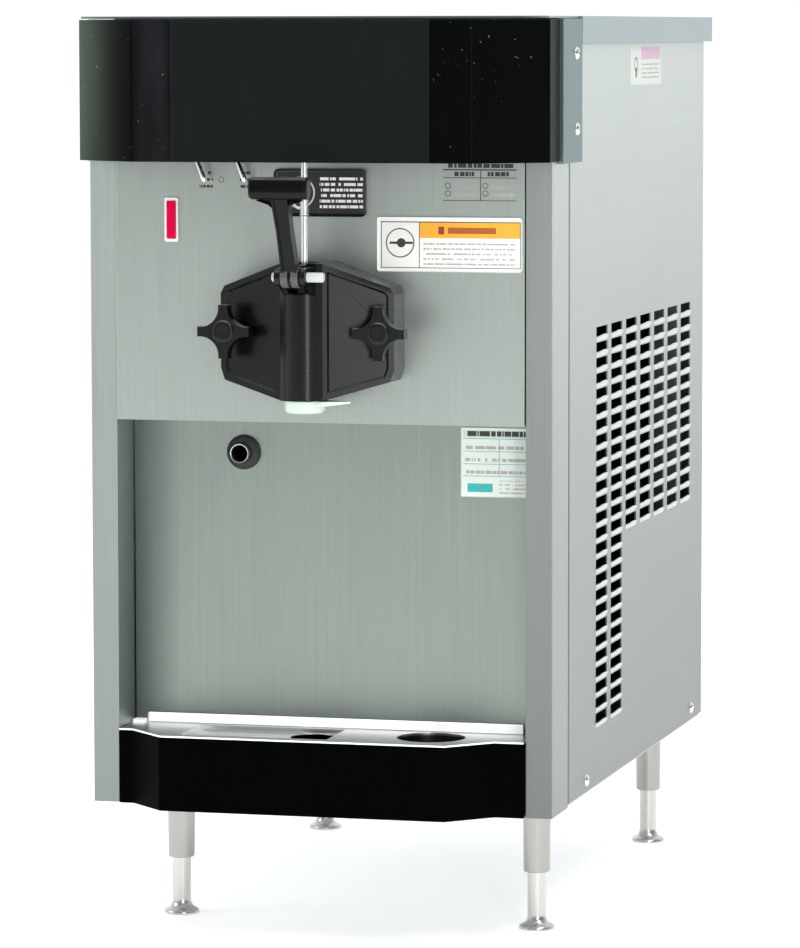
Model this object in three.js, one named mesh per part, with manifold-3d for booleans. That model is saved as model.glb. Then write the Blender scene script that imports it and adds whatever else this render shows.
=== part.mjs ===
// Countertop gravity-fed soft-serve freezer.
// Millimetres, +Z up. Inside this file y = 0 is the front face of the cabinet posts and +y runs
// to the back; the exported group is shifted so that its origin is under the middle of the machine.
import * as THREE from 'three';
import { mergeGeometries, mergeVertices } from 'three/addons/utils/BufferGeometryUtils.js';
import Module from 'manifold-3d';

const wasm = await Module();
wasm.setup();

// ---------------------------------------------------------------- driving dimensions
const SHEET = 1.5; // stainless sheet
const GAP = 0.3; // between pieces that touch
const SLIP = 0.5; // around pieces that lift or slide out

const CABINET_WIDTH = 440;
const CABINET_DEPTH = 706;
const CABINET_BOTTOM = 126.5;
const HEADER_BOTTOM = 727;
const CABINET_TOP = 859;

const POST_FACE = 25; // front face of a corner post
const POST_SIDE = 66.8; // how far a corner post wraps back along the side
const RECESS_DEPTH = 50.6;
const RECESS_TOP = 487;

const PANEL_PROUD = 3; // upper front panel stands in front of the posts
const PANEL_SIDE_GAP = 2;

const HEADER_FRONT = 64; // header's flat front, ahead of the posts
const HEADER_END = 22; // header's end corner, ahead of the posts
const HEADER_RETURN = 16.3; // header's side return, behind the post faces
const HEADER_OVERHANG = 2.5;
const HEADER_WALL = 2.2;
const HEADER_FLAT_HALF = 160;
const HEADER_HEIGHT = 129;
const SIGN_HALF = 121.5;

const COVER_OVERHANG = 6.6;
const COVER_RIM = 25;
const COVER_REAR = 11.7; // past the cabinet's back
const COVER_FRONT = 20; // ahead of the posts, over the header
const CHEEK_END = 95;

const HOPPER_HALF = 115;
const HOPPER_FRONT = 110;
const HOPPER_LENGTH = 290;
const HOPPER_DEPTH = 190;
const HOPPER_CORNER = 30;
const HOPPER_FLANGE = 16;
const LID_LEDGE = 8; // how far the lid rests on the hopper's flange

const BARREL_Z = 573;
const BARREL_BORE = 50;
const BARREL_WALL = 3;
const BARREL_LENGTH = 330;
const BARREL_FLANGE = 82;
const SHAFT_RADIUS = 8;
const RUNNING = 0.4; // radial clearance round a turning shaft

const HEAD_HALF = 82;
const HEAD_TOP = 636;
const HEAD_BOTTOM = 511;
const HEAD_CENTRE_HALF = 20; // half width of the head's flat top and bottom edges
const HEAD_SIDE_HALF = 34; // half height of the head's upright side edges
const HEAD_FRONT = 60; // depth of the head at its centre
const HEAD_SIDE_FRONT = 40; // depth of the head at its sides
const STUD_SPREAD = 73;
const STUD_RADIUS = 4;
const KNOB_FRONT = -66;
const KNOB_BACK = -46.5;
const KNOB_REACH = 24.3;

const VALVE_Y = -48;
const COLUMN_RADIUS = 22;
const VALVE_BORE = 14;
const VALVE_FIT = 0.4;
const PLUNGER_BOTTOM = 522;
const PLUNGER_TOP = 634;

const PIVOT_Y = -92;
const PIVOT_Z = 625;
const PIN_RADIUS = 3;
const LEVER_HALF = 8.5;
const EAR_THICKNESS = 5;
const GRIP_HALF = 27.3;
const GRIP_FORWARD = 38; // grip's centre ahead of the pivot
const GRIP_RISE = 81; // grip's centre above the pivot
const GRIP_HEIGHT = 20;
const GRIP_DEPTH = 19;
const TONGUE_REACH = 40;
const TONGUE_THICKNESS = 8;

const ROD_RADIUS = 3.2;
const ROD_TOP = 770;
const SWITCH_BOTTOM = 803;

const TOGGLE_X = [-116, -77.5];
const TOGGLE_Y = -14;
const TOGGLE_PIVOT_Z = 737;
const TOGGLE_LENGTH = 32;
const TOGGLE_LEAN = 22; // degrees towards +x at rest

const DRAIN_X = -87;
const DRAIN_Z = 453.5;
const DRAIN_RADIUS = 9;
const DRAIN_BORE = 7.8;
const DRAIN_FRONT = 34;
const DRAIN_LENGTH = 316;
const GROMMET_RADIUS = 16.2;

const LIGHT_X = -139.8;
const LIGHT_Z = 672.4;
const LIGHT_WIDTH = 13.4;
const LIGHT_HEIGHT = 40.8;

const TRAY_TOP = 195;
const TRAY_FRONT = 42;
const TRAY_CHAMFER = 38;
const TRAY_STUB = [14, 28]; // straight part of the apron at its left and right ends
const TRAY_WALL = 3;
const TRAY_FLOOR = 131;
const WELL_X = 103;
const WELL_Y = 12;
const WELL_RADIUS = 33;
const WELL_DEPTH = 14;
const DISH_LEFT = -128;
const DISH_RIGHT = 14;
const DISH_DEPTH = 4.5;
const DISH_FRONT = -27;
const SUMP_X = -12;
const SUMP_Y = 18;
const SUMP_RADIUS = 21;
const INSERT_SHEET = 1.2;
const UPSTAND = 9;

const LOUVRE_ROWS = [26, 26, 14, 14, 14, 14, 14];
const LOUVRE_TOP = 562;
const LOUVRE_ROW_PITCH = 14.73;
const LOUVRE_FIRST = 211;
const LOUVRE_FROM_REAR = 41.8; // last column's rear end to the back of the cabinet
const LOUVRE_WEB = 17.2; // plain sheet between two columns
const LOUVRE_HEIGHT = 9;

const INLET_X = -150; // gland for the mains lead
const INLET_Z = 190;
const INLET_NECK = 8;

const LEG_X = 175.4;
const LEG_FRONT = 132;
const LEG_FROM_REAR = 57.6;
const SLEEVE_TOP_RADIUS = 13.4;
const SLEEVE_END_RADIUS = 12.6;
const SLEEVE_LENGTH = 72;
const FOOT_TUBE = 8.9;
const FOOT_RADIUS = 17;

const REDUCER_FRONT = 362;
const REDUCER_LENGTH = 76;
const PULLEY_Y = 446;
const PULLEY_WIDTH = 20;
const BIG_PULLEY = 60;
const SMALL_PULLEY = 25;
const MOTOR_Z = 418;
const MOTOR_RADIUS = 58;
const MOTOR_LENGTH = 168;

const FRAME_LEFT = -125;
const FRAME_RIGHT = 98;
const FRAME_FRONT = 90;
const FRAME_FROM_REAR = 126;
const FRAME_BAR = 16;
const SHELF_Z = 350;
const CRADLE_DROP = 87; // cradle bars below the barrel's axis
const JACKET = 8; // evaporator jacket round the barrel

const FAN_FROM_REAR = 246;
const FAN_Z = 300;
const FAN_RADIUS = 92;
const CONDENSER_X = 150;
const CONDENSER_DEPTH = 36;
const CONDENSER_HALF = 140; // half its length, either side of the fan
const CONDENSER_FINS = 18;

// ---------------------------------------------------------------- derived places
const HALF = CABINET_WIDTH / 2;
const POST_INNER = HALF - POST_FACE;
const DECK_UNDERSIDE = CABINET_TOP - 2;
const HEADER_TOP = HEADER_BOTTOM + HEADER_HEIGHT;
const COVER_BACK = CABINET_DEPTH + COVER_REAR;
const GRIP_Y = PIVOT_Y - GRIP_FORWARD;
const GRIP_Z = PIVOT_Z + GRIP_RISE;
const FRONTMOST = GRIP_Y - GRIP_DEPTH / 2;
const MIDDLE_Y = (FRONTMOST + COVER_BACK) / 2;
const BARREL_OUTER = BARREL_BORE + BARREL_WALL;
const FRAME_REAR = CABINET_DEPTH - FRAME_FROM_REAR;
const FAN_Y = CABINET_DEPTH - FAN_FROM_REAR;
const LOUVRE_COLUMN_PITCH = (CABINET_DEPTH - LOUVRE_FROM_REAR - LOUVRE_FIRST + LOUVRE_WEB)
  / LOUVRE_ROWS.length;
const LOUVRE_WIDTH = LOUVRE_COLUMN_PITCH - LOUVRE_WEB;
const BARREL_NOSE = -PANEL_PROUD - 3;
const HEAD_BACK = -PANEL_PROUD - GAP;
const GASKET_FACE = BARREL_NOSE - 3.6;
const HOPPER_BACK = HOPPER_FRONT + HOPPER_LENGTH;
const HOPPER_RIM = DECK_UNDERSIDE - 2;
const HOPPER_BOTTOM = HOPPER_RIM - HOPPER_DEPTH;
const FEED_Y = BARREL_LENGTH - 30;
const FEED_RADIUS = 8;
const BASE_FLOOR = CABINET_BOTTOM + 0.5;

// ---------------------------------------------------------------- materials
const STAINLESS = { color: 0x9fa8a3, roughness: 0.38, metalness: 1 };
const DULL_STEEL = { color: 0x8b9396, roughness: 0.5, metalness: 1 };
const COVER_BLUE = { color: 0x74858f, roughness: 0.42, metalness: 0.9 };
const HEADER_BLACK = { color: 0x0e1110, roughness: 0.3, metalness: 0 };
const SIGN_BLACK = { color: 0x1b1f1f, roughness: 0.35, metalness: 0 };
const MOULDED_BLACK = { color: 0x0b0d0f, roughness: 0.32, metalness: 0 };
const CHROME = { color: 0xd8dcdc, roughness: 0.12, metalness: 1 };
const RUBBER = { color: 0x101211, roughness: 0.7, metalness: 0 };
const LENS_RED = { color: 0xd31b2c, roughness: 0.2, metalness: 0 };
const WHITE_PLASTIC = { color: 0xe9ece7, roughness: 0.45, metalness: 0 };
const SPOUT_GREEN = { color: 0xd5e6da, roughness: 0.4, metalness: 0 };
const CAST = { color: 0x5c6264, roughness: 0.6, metalness: 0.8 };
const PAINTED_BLACK = { color: 0x1a1c1e, roughness: 0.5, metalness: 0.2 };
const ALUMINIUM = { color: 0xb9bec0, roughness: 0.4, metalness: 1 };

// ---------------------------------------------------------------- shape helpers
function outlineShape(points, holes = []) {
  const shape = new THREE.Shape(points.map(([a, b]) => new THREE.Vector2(a, b)));
  for (const hole of holes) {
    shape.holes.push(new THREE.Path(hole.map(([a, b]) => new THREE.Vector2(a, b))));
  }
  return shape;
}

// Plan outline [x, y] raised from z0 to z1.
function upright(points, z0, z1, holes = []) {
  const shape = outlineShape(points, holes);
  const geometry = new THREE.ExtrudeGeometry(shape, { depth: z1 - z0, bevelEnabled: false });
  return geometry.translate(0, 0, z0);
}

// Front-view outline [x, z] taken from y0 back to y1.
function frontal(points, y0, y1, holes = []) {
  const shape = outlineShape(points, holes);
  const geometry = new THREE.ExtrudeGeometry(shape, { depth: y1 - y0, bevelEnabled: false });
  return geometry.rotateX(Math.PI / 2).translate(0, y1, 0);
}

// Side-view outline [y, z] taken from x0 to x1.
function sideways(points, x0, x1, holes = []) {
  const shape = outlineShape(points, holes);
  const geometry = new THREE.ExtrudeGeometry(shape, { depth: x1 - x0, bevelEnabled: false });
  const turn = new THREE.Matrix4().set(0, 0, 1, 0, 1, 0, 0, 0, 0, 1, 0, 0, 0, 0, 0, 1);
  return geometry.applyMatrix4(turn).translate(x0, 0, 0);
}

function box(x0, x1, y0, y1, z0, z1) {
  const geometry = new THREE.BoxGeometry(x1 - x0, y1 - y0, z1 - z0);
  return geometry.translate((x0 + x1) / 2, (y0 + y1) / 2, (z0 + z1) / 2);
}

// Profile [radius, height] turned round the upright line through (x, y).
function turnedZ(profile, x, y, segments = 24) {
  const points = profile.map(([r, h]) => new THREE.Vector2(r, h));
  return outward(new THREE.LatheGeometry(points, segments).rotateX(Math.PI / 2)).translate(x, y, 0);
}

// Profile [radius, y] turned round the line along y through (x, z).
function turnedY(profile, x, z, segments = 24) {
  const points = profile.map(([r, h]) => new THREE.Vector2(r, h));
  return outward(new THREE.LatheGeometry(points, segments)).translate(x, 0, z);
}

// Profile [radius, x] turned round the line along x through (y, z).
function turnedX(profile, y, z, segments = 24) {
  const points = profile.map(([r, h]) => new THREE.Vector2(r, h));
  return outward(new THREE.LatheGeometry(points, segments).rotateZ(-Math.PI / 2)).translate(0, y, z);
}

// A plain rod profile between two heights.
function rod(radius, h0, h1) {
  return [[0, h0], [radius, h0], [radius, h1], [0, h1]];
}

// A ring profile, closed on itself.
function ring(inner, outer, h0, h1) {
  return [[inner, h0], [outer, h0], [outer, h1], [inner, h1], [inner, h0]];
}

function circle(cx, cy, radius, segments = 24) {
  const points = [];
  for (let i = 0; i < segments; i += 1) {
    const angle = (i / segments) * 2 * Math.PI;
    points.push([cx + radius * Math.cos(angle), cy + radius * Math.sin(angle)]);
  }
  return points;
}

function rectangle(x0, x1, y0, y1) {
  return [[x0, y0], [x1, y0], [x1, y1], [x0, y1]];
}

function roundedRectangle(x0, x1, y0, y1, radius, steps = 4) {
  const corners = [[x1 - radius, y0 + radius, -90], [x1 - radius, y1 - radius, 0],
    [x0 + radius, y1 - radius, 90], [x0 + radius, y0 + radius, 180]];
  const points = [];
  for (const [cx, cy, start] of corners) {
    for (let i = 0; i <= steps; i += 1) {
      const angle = THREE.MathUtils.degToRad(start + (90 * i) / steps);
      points.push([cx + radius * Math.cos(angle), cy + radius * Math.sin(angle)]);
    }
  }
  return points;
}

function welded(geometry) {
  geometry.deleteAttribute('normal');
  geometry.deleteAttribute('uv');
  return mergeVertices(geometry, 1e-4);
}

function signedVolume(geometry) {
  const p = geometry.attributes.position;
  const index = geometry.index.array;
  const a = new THREE.Vector3();
  const b = new THREE.Vector3();
  const c = new THREE.Vector3();
  let sum = 0;
  for (let i = 0; i < index.length; i += 3) {
    a.fromBufferAttribute(p, index[i]);
    b.fromBufferAttribute(p, index[i + 1]);
    c.fromBufferAttribute(p, index[i + 2]);
    sum += a.dot(b.cross(c));
  }
  return sum;
}

// A turned shape with its poles closed and its faces pointing out.
function outward(geometry) {
  const merged = welded(geometry);
  const old = merged.index.array;
  const flip = signedVolume(merged) < 0;
  const kept = [];
  for (let i = 0; i < old.length; i += 3) {
    const [a, b, c] = [old[i], old[i + 1], old[i + 2]];
    const flat = a === b || b === c || a === c;
    if (!flat) {
      kept.push(...(flip ? [a, c, b] : [a, b, c]));
    }
  }
  merged.setIndex(kept);
  return merged;
}

function toManifold(geometry) {
  const merged = welded(geometry.clone());
  const vertProperties = Float32Array.from(merged.attributes.position.array);
  const triVerts = Uint32Array.from(merged.index.array);
  return new wasm.Manifold(new wasm.Mesh({ numProp: 3, vertProperties, triVerts }));
}

function fromManifold(solid) {
  const mesh = solid.getMesh();
  const geometry = new THREE.BufferGeometry();
  geometry.setAttribute('position', new THREE.BufferAttribute(mesh.vertProperties, 3));
  geometry.setIndex(new THREE.BufferAttribute(mesh.triVerts, 1));
  return geometry;
}

function join(first, ...others) {
  const total = others.reduce((sum, geometry) => sum.add(toManifold(geometry)), toManifold(first));
  return fromManifold(total);
}

function cut(first, ...others) {
  const rest = others.reduce((sum, geometry) => sum.subtract(toManifold(geometry)), toManifold(first));
  return fromManifold(rest);
}

function common(first, second) {
  return fromManifold(toManifold(first).intersect(toManifold(second)));
}

// ---------------------------------------------------------------- assembly
const machine = new THREE.Group();
machine.position.y = -MIDDLE_Y;

function place(name, geometry, finish) {
  const mesh = new THREE.Mesh(geometry, new THREE.MeshStandardMaterial(finish));
  mesh.name = name;
  machine.add(mesh);
}

// ---------------------------------------------------------------- cabinet
// Open sheet pan under the machinery, with a flat tongue forward under the drip tray.
function basePan() {
  const front = POST_SIDE + 2.2;
  const back = CABINET_DEPTH - 3;
  const side = HALF - SHEET - 0.8;
  const rim = BASE_FLOOR + 30;
  const pan = box(-side, side, front, back, BASE_FLOOR, rim);
  const hollow = box(-side + 2, side - 2, front + 2, back - 2, BASE_FLOOR + 2, rim + 1);
  const tongue = box(-POST_INNER + 1, POST_INNER - 1, 1, front + 1, BASE_FLOOR, BASE_FLOOR + 2);
  return join(cut(pan, hollow), tongue);
}

// Corner post: sheet folded to a channel, its inner leg being the side wall of the recess.
function cornerPost(side) {
  const outline = [[HALF, POST_SIDE], [HALF, 0], [POST_INNER, 0], [POST_INNER, RECESS_DEPTH],
    [POST_INNER + SHEET, RECESS_DEPTH], [POST_INNER + SHEET, SHEET], [HALF - SHEET, SHEET],
    [HALF - SHEET, POST_SIDE]];
  const placed = outline.map(([x, y]) => [side * x, y]);
  return upright(placed, CABINET_BOTTOM, HEADER_TOP - HEADER_WALL - SLIP);
}

function louvreSlots() {
  const slots = [];
  LOUVRE_ROWS.forEach((rows, column) => {
    const y = LOUVRE_FIRST + column * LOUVRE_COLUMN_PITCH;
    const half = LOUVRE_WIDTH / 2;
    for (let row = 0; row < rows; row += 1) {
      const z = LOUVRE_TOP - row * LOUVRE_ROW_PITCH;
      slots.push(box(HALF - 5, HALF + 5, y - half, y + half, z - LOUVRE_HEIGHT / 2, z + LOUVRE_HEIGHT / 2));
    }
  });
  return slots;
}

function sidePanel(side) {
  const outline = rectangle(POST_SIDE + SLIP, CABINET_DEPTH, CABINET_BOTTOM + 3.5, DECK_UNDERSIDE - 0.5);
  const x0 = side > 0 ? HALF - SHEET : -HALF;
  return sideways(outline, x0, x0 + SHEET);
}

function rearSlots() {
  const slots = [];
  for (let column = 0; column < 3; column += 1) {
    for (let row = 0; row < 8; row += 1) {
      const x = -70 + column * 70;
      const z = 300 + row * 26;
      slots.push(box(x - 25, x + 25, CABINET_DEPTH - 5, CABINET_DEPTH + 5, z - 4, z + 4));
    }
  }
  return slots;
}

function rearPanel() {
  const side = HALF - SHEET - SLIP;
  const outline = rectangle(-side, side, CABINET_BOTTOM + 3.5, DECK_UNDERSIDE - 0.5);
  const inlet = circle(INLET_X, INLET_Z, INLET_NECK + GAP, 16);
  const sheet = frontal(outline, CABINET_DEPTH - 2.2, CABINET_DEPTH - 0.7, [inlet]);
  return cut(sheet, mergeGeometries(rearSlots()));
}

// Gland for the mains lead, a flanged bush through the rear panel.
function cordInlet() {
  const back = CABINET_DEPTH - 0.7;
  const bore = 5;
  const profile = [[bore, back - 10], [INLET_NECK, back - 10], [INLET_NECK, back + GAP],
    [13, back + GAP], [13, back + 4], [9, back + 11], [bore, back + 11], [bore, back - 10]];
  return turnedY(profile, INLET_X, INLET_Z, 16);
}

function lidOpening(margin) {
  const half = HOPPER_HALF + LID_LEDGE + margin;
  const front = HOPPER_FRONT - LID_LEDGE - margin;
  const back = HOPPER_BACK + LID_LEDGE + margin;
  return roundedRectangle(-half, half, front, back, HOPPER_CORNER + LID_LEDGE + margin);
}

// Deck with a turned-down rim on three sides and an opening for the hopper's lid.
function topCover() {
  const wide = HALF + COVER_OVERHANG;
  const narrow = HALF + 1;
  const outline = [[-narrow, -COVER_FRONT], [narrow, -COVER_FRONT], [narrow, CHEEK_END],
    [wide, CHEEK_END], [wide, COVER_BACK], [-wide, COVER_BACK], [-wide, CHEEK_END],
    [-narrow, CHEEK_END]];
  const deck = upright(outline, DECK_UNDERSIDE, CABINET_TOP, [lidOpening(SLIP)]);
  const rimOutline = [[-wide, CHEEK_END], [-wide, COVER_BACK], [wide, COVER_BACK],
    [wide, CHEEK_END], [wide - SHEET, CHEEK_END], [wide - SHEET, COVER_BACK - SHEET],
    [-wide + SHEET, COVER_BACK - SHEET], [-wide + SHEET, CHEEK_END]];
  const rim = upright(rimOutline, CABINET_TOP - COVER_RIM, DECK_UNDERSIDE + 1);
  return join(deck, rim);
}

// Side plate that carries the header's end, held by two screws.
function headerCheek(side) {
  const inner = HALF + 0.5;
  const outer = HALF + HEADER_OVERHANG - 0.2;
  const x0 = side > 0 ? inner : -outer;
  const front = HEADER_RETURN + GAP;
  return box(x0, x0 + outer - inner, front, CHEEK_END - GAP, HEADER_BOTTOM - 2, DECK_UNDERSIDE - 0.5);
}

function headerOutline(inset) {
  const end = HALF + HEADER_OVERHANG - inset;
  const corner = -HEADER_END + inset * 0.6;
  const front = -HEADER_FRONT + inset;
  const flat = HEADER_FLAT_HALF - inset * 0.3;
  return [[-end, HEADER_RETURN], [-end, corner], [-flat, front], [flat, front], [end, corner],
    [end, HEADER_RETURN]];
}

// Moulded fascia, open below and behind.
function headerFascia() {
  const shell = upright(headerOutline(0), HEADER_BOTTOM, HEADER_TOP);
  const hollow = upright(headerOutline(HEADER_WALL), HEADER_BOTTOM - 1, HEADER_TOP - HEADER_WALL);
  const behind = box(-HALF - GAP, HALF + GAP, HEADER_RETURN - 5, HEADER_RETURN + 5,
    HEADER_BOTTOM - 1, HEADER_TOP - HEADER_WALL);
  return cut(shell, hollow, behind);
}

function signPlate() {
  const outline = rectangle(-SIGN_HALF, SIGN_HALF, HEADER_BOTTOM + 0.5, HEADER_TOP - 0.5);
  return frontal(outline, -HEADER_FRONT - 1.8, -HEADER_FRONT - GAP);
}

function frontPanel() {
  const side = POST_INNER - PANEL_SIDE_GAP;
  const outline = rectangle(-side, side, RECESS_TOP - 0.5, HEADER_TOP - 4);
  const lightHole = rectangle(LIGHT_X - 3.6, LIGHT_X + 3.6, LIGHT_Z - 16, LIGHT_Z + 16);
  const studHoles = [-1, 1].map((s) => circle(s * STUD_SPREAD, BARREL_Z, STUD_RADIUS + SLIP, 16));
  const nose = circle(0, BARREL_Z, BARREL_OUTER + 4, 40);
  return frontal(outline, -PANEL_PROUD, -PANEL_PROUD + SHEET, [lightHole, nose, ...studHoles]);
}

// Back wall and ceiling of the cup recess, folded from one sheet.
function recessPanel() {
  const profile = [[RECESS_DEPTH, 158], [RECESS_DEPTH + SHEET, 158],
    [RECESS_DEPTH + SHEET, RECESS_TOP + SHEET], [0.8, RECESS_TOP + SHEET], [0.8, RECESS_TOP],
    [RECESS_DEPTH, RECESS_TOP]];
  const sheet = sideways(profile, -POST_INNER + 0.8, POST_INNER - 0.8);
  const hole = turnedY(rod(GROMMET_RADIUS - 2.2, RECESS_DEPTH - 2, RECESS_DEPTH + 4), DRAIN_X, DRAIN_Z);
  return cut(sheet, hole);
}

// Welded bars that carry the barrel, the hopper, the reducer and the motor shelf.
function innerFrame() {
  const half = FRAME_BAR / 2;
  const foot = BASE_FLOOR + 2 + GAP;
  const top = HOPPER_BOTTOM - 11;
  const pieces = [];
  for (const x of [FRAME_LEFT, FRAME_RIGHT]) {
    for (const y of [FRAME_FRONT, FRAME_REAR]) {
      pieces.push(box(x - half, x + half, y - half, y + half, foot, top));
    }
    for (const z of [SHELF_Z - FRAME_BAR, top - FRAME_BAR]) {
      pieces.push(box(x - half, x + half, FRAME_FRONT, FRAME_REAR, z, z + FRAME_BAR - 1));
    }
  }
  for (const y of [150, 250, 400]) {
    const under = BARREL_Z - CRADLE_DROP;
    pieces.push(box(FRAME_LEFT, FRAME_LEFT + half, y - 6, y + 6, SHELF_Z - 9, under));
    pieces.push(box(FRAME_RIGHT - half, FRAME_RIGHT, y - 6, y + 6, SHELF_Z - 9, under));
    pieces.push(box(FRAME_LEFT, FRAME_RIGHT, y - 6, y + 6, under - 7, under));
  }
  for (const y of [FRAME_FRONT, FRAME_REAR]) {
    pieces.push(box(FRAME_LEFT, FRAME_RIGHT, y - half + 1, y + half - 1, top - FRAME_BAR, top - 2));
  }
  pieces.push(box(FRAME_LEFT - half, FRAME_RIGHT + half, 262, 448, SHELF_Z - 4, SHELF_Z + 3));
  const barrelSpace = turnedY(rod(BARREL_OUTER + JACKET + 3.5, FRAME_FRONT - FRAME_BAR,
    BARREL_LENGTH), 0, BARREL_Z, 40);
  return cut(join(...pieces), barrelSpace);
}

// ---------------------------------------------------------------- mix side
function hopper() {
  const outer = roundedRectangle(-HOPPER_HALF, HOPPER_HALF, HOPPER_FRONT, HOPPER_BACK, HOPPER_CORNER);
  const inner = roundedRectangle(-HOPPER_HALF + SHEET, HOPPER_HALF - SHEET, HOPPER_FRONT + SHEET,
    HOPPER_BACK - SHEET, HOPPER_CORNER - SHEET);
  const flange = roundedRectangle(-HOPPER_HALF - HOPPER_FLANGE, HOPPER_HALF + HOPPER_FLANGE,
    HOPPER_FRONT - HOPPER_FLANGE, HOPPER_BACK + HOPPER_FLANGE, HOPPER_CORNER + HOPPER_FLANGE);
  const tank = upright(outer, HOPPER_BOTTOM, HOPPER_RIM);
  const rim = upright(flange, HOPPER_RIM - SHEET, HOPPER_RIM);
  const hollow = upright(inner, HOPPER_BOTTOM + SHEET, HOPPER_RIM + 1);
  const outlet = turnedZ(rod(FEED_RADIUS + GAP, HOPPER_BOTTOM - 2, HOPPER_BOTTOM + 4), 0, FEED_Y);
  return cut(join(tank, rim), hollow, outlet);
}

// Flush lid with a shallow finger dish and a locating skirt inside the hopper.
function hopperLid() {
  const z = HOPPER_RIM + GAP;
  const top = CABINET_TOP - 0.5;
  const plate = upright(lidOpening(-SLIP), z, top);
  const skirtOuter = roundedRectangle(-HOPPER_HALF + 3, HOPPER_HALF - 3, HOPPER_FRONT + 3,
    HOPPER_BACK - 3, HOPPER_CORNER - 3);
  const skirtInner = roundedRectangle(-HOPPER_HALF + 5, HOPPER_HALF - 5, HOPPER_FRONT + 5,
    HOPPER_BACK - 5, HOPPER_CORNER - 5);
  const skirt = upright(skirtOuter, z - 9, z + 1, [skirtInner]);
  const dishY = HOPPER_FRONT + 45;
  const dishBack = roundedRectangle(-44, 44, dishY - 16, dishY + 16, 14);
  const dish = roundedRectangle(-42, 42, dishY - 14, dishY + 14, 12);
  const boss = upright(dishBack, z - 5, z + 1);
  const pocket = upright(dish, z - 3.5, top + 1);
  return cut(join(plate, skirt, boss), pocket);
}

function mixFeedTube() {
  const bottom = BARREL_Z + BARREL_BORE + 1;
  return turnedZ(ring(FEED_RADIUS - 1.5, FEED_RADIUS, bottom, HOPPER_RIM - 60), 0, FEED_Y, 16);
}

// Stainless barrel with its brazed-on evaporator jacket and bolting flange.
function freezingBarrel() {
  const jacket = BARREL_OUTER + JACKET;
  const profile = [[BARREL_BORE, BARREL_NOSE], [BARREL_OUTER + 2, BARREL_NOSE],
    [BARREL_OUTER + 2, -PANEL_PROUD + SHEET + GAP], [BARREL_FLANGE, -PANEL_PROUD + SHEET + GAP],
    [BARREL_FLANGE, 5], [BARREL_OUTER, 5]];
  for (let i = 0; i < 3; i += 1) {
    const start = 20 + i * 84;
    profile.push([BARREL_OUTER, start], [jacket, start + 4], [jacket, start + 74],
      [BARREL_OUTER, start + 78]);
  }
  profile.push([BARREL_OUTER, BARREL_LENGTH], [SHAFT_RADIUS + RUNNING, BARREL_LENGTH],
    [SHAFT_RADIUS + RUNNING, BARREL_LENGTH - 4], [BARREL_BORE, BARREL_LENGTH - 4],
    [BARREL_BORE, BARREL_NOSE]);
  const body = turnedY(profile, 0, BARREL_Z, 28);
  const feed = turnedZ(rod(FEED_RADIUS + GAP, BARREL_Z + 30, BARREL_Z + 80), 0, FEED_Y, 16);
  const studs = [-1, 1].map((s) => turnedY(rod(STUD_RADIUS + GAP, -5, 10), s * STUD_SPREAD, BARREL_Z, 16));
  return cut(body, feed, ...studs);
}

class HelixCurve extends THREE.Curve {
  constructor(radius, y0, y1, phase, turns) {
    super();
    Object.assign(this, { radius, y0, y1, phase, turns });
  }

  getPoint(t) {
    const angle = this.phase + t * this.turns * 2 * Math.PI;
    const y = this.y0 + t * (this.y1 - this.y0);
    return new THREE.Vector3(this.radius * Math.cos(angle), y, BARREL_Z + this.radius * Math.sin(angle));
  }
}

// Dasher: a shaft, three spiders and two helical scraper ribbons.
function beater() {
  const shaftEnd = REDUCER_FRONT + 6;
  const pieces = [turnedY(rod(SHAFT_RADIUS, BARREL_NOSE + 1, shaftEnd), 0, BARREL_Z, 16)];
  const first = 14;
  const last = BARREL_LENGTH - 18;
  for (const y of [first, (first + last) / 2, last]) {
    pieces.push(turnedY(ring(34, 45, y - 3, y + 3), 0, BARREL_Z, 20));
    pieces.push(box(-40, 40, y - 2.5, y + 2.5, BARREL_Z - 5, BARREL_Z + 5));
  }
  const section = outlineShape(rectangle(-3, 3, -4, 4));
  for (const phase of [0, Math.PI]) {
    const path = new HelixCurve(42, first, last, phase, 1);
    pieces.push(new THREE.ExtrudeGeometry(section, { steps: 20, extrudePath: path, bevelEnabled: false }));
  }
  return join(...pieces);
}

function shaftSeal() {
  return turnedY(ring(SHAFT_RADIUS + RUNNING, 17, BARREL_LENGTH + 1, BARREL_LENGTH + 13), 0, BARREL_Z);
}

// ---------------------------------------------------------------- beater drive
function gearReducer() {
  const back = REDUCER_FRONT + REDUCER_LENGTH;
  const low = BARREL_Z - 87 + GAP;
  const outline = [[-40, low], [40, low], [40, BARREL_Z - 55], [48, BARREL_Z - 40],
    [48, BARREL_Z + 45], [36, BARREL_Z + 58], [-36, BARREL_Z + 58], [-48, BARREL_Z + 45],
    [-48, BARREL_Z - 40], [-40, BARREL_Z - 55]];
  const housing = frontal(outline, REDUCER_FRONT, back);
  const collar = turnedY(rod(24, REDUCER_FRONT - 15, REDUCER_FRONT + 2), 0, BARREL_Z);
  const socket = turnedY(rod(SHAFT_RADIUS + RUNNING, REDUCER_FRONT - 20, REDUCER_FRONT + 8), 0, BARREL_Z);
  const input = turnedY(rod(7 + RUNNING, back - 12, back + 2), 0, BARREL_Z);
  return cut(join(housing, collar), socket, input);
}

function pulley(radius, z) {
  const groove = radius - 4;
  const end = PULLEY_Y + PULLEY_WIDTH;
  const middle = PULLEY_Y + PULLEY_WIDTH / 2;
  const profile = [[0, PULLEY_Y - 18], [7, PULLEY_Y - 18], [7, PULLEY_Y], [radius, PULLEY_Y],
    [radius, middle - 7], [groove, middle - 4], [groove, middle + 4], [radius, middle + 7],
    [radius, end], [0, end]];
  return turnedY(profile, 0, z, 24);
}

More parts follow.
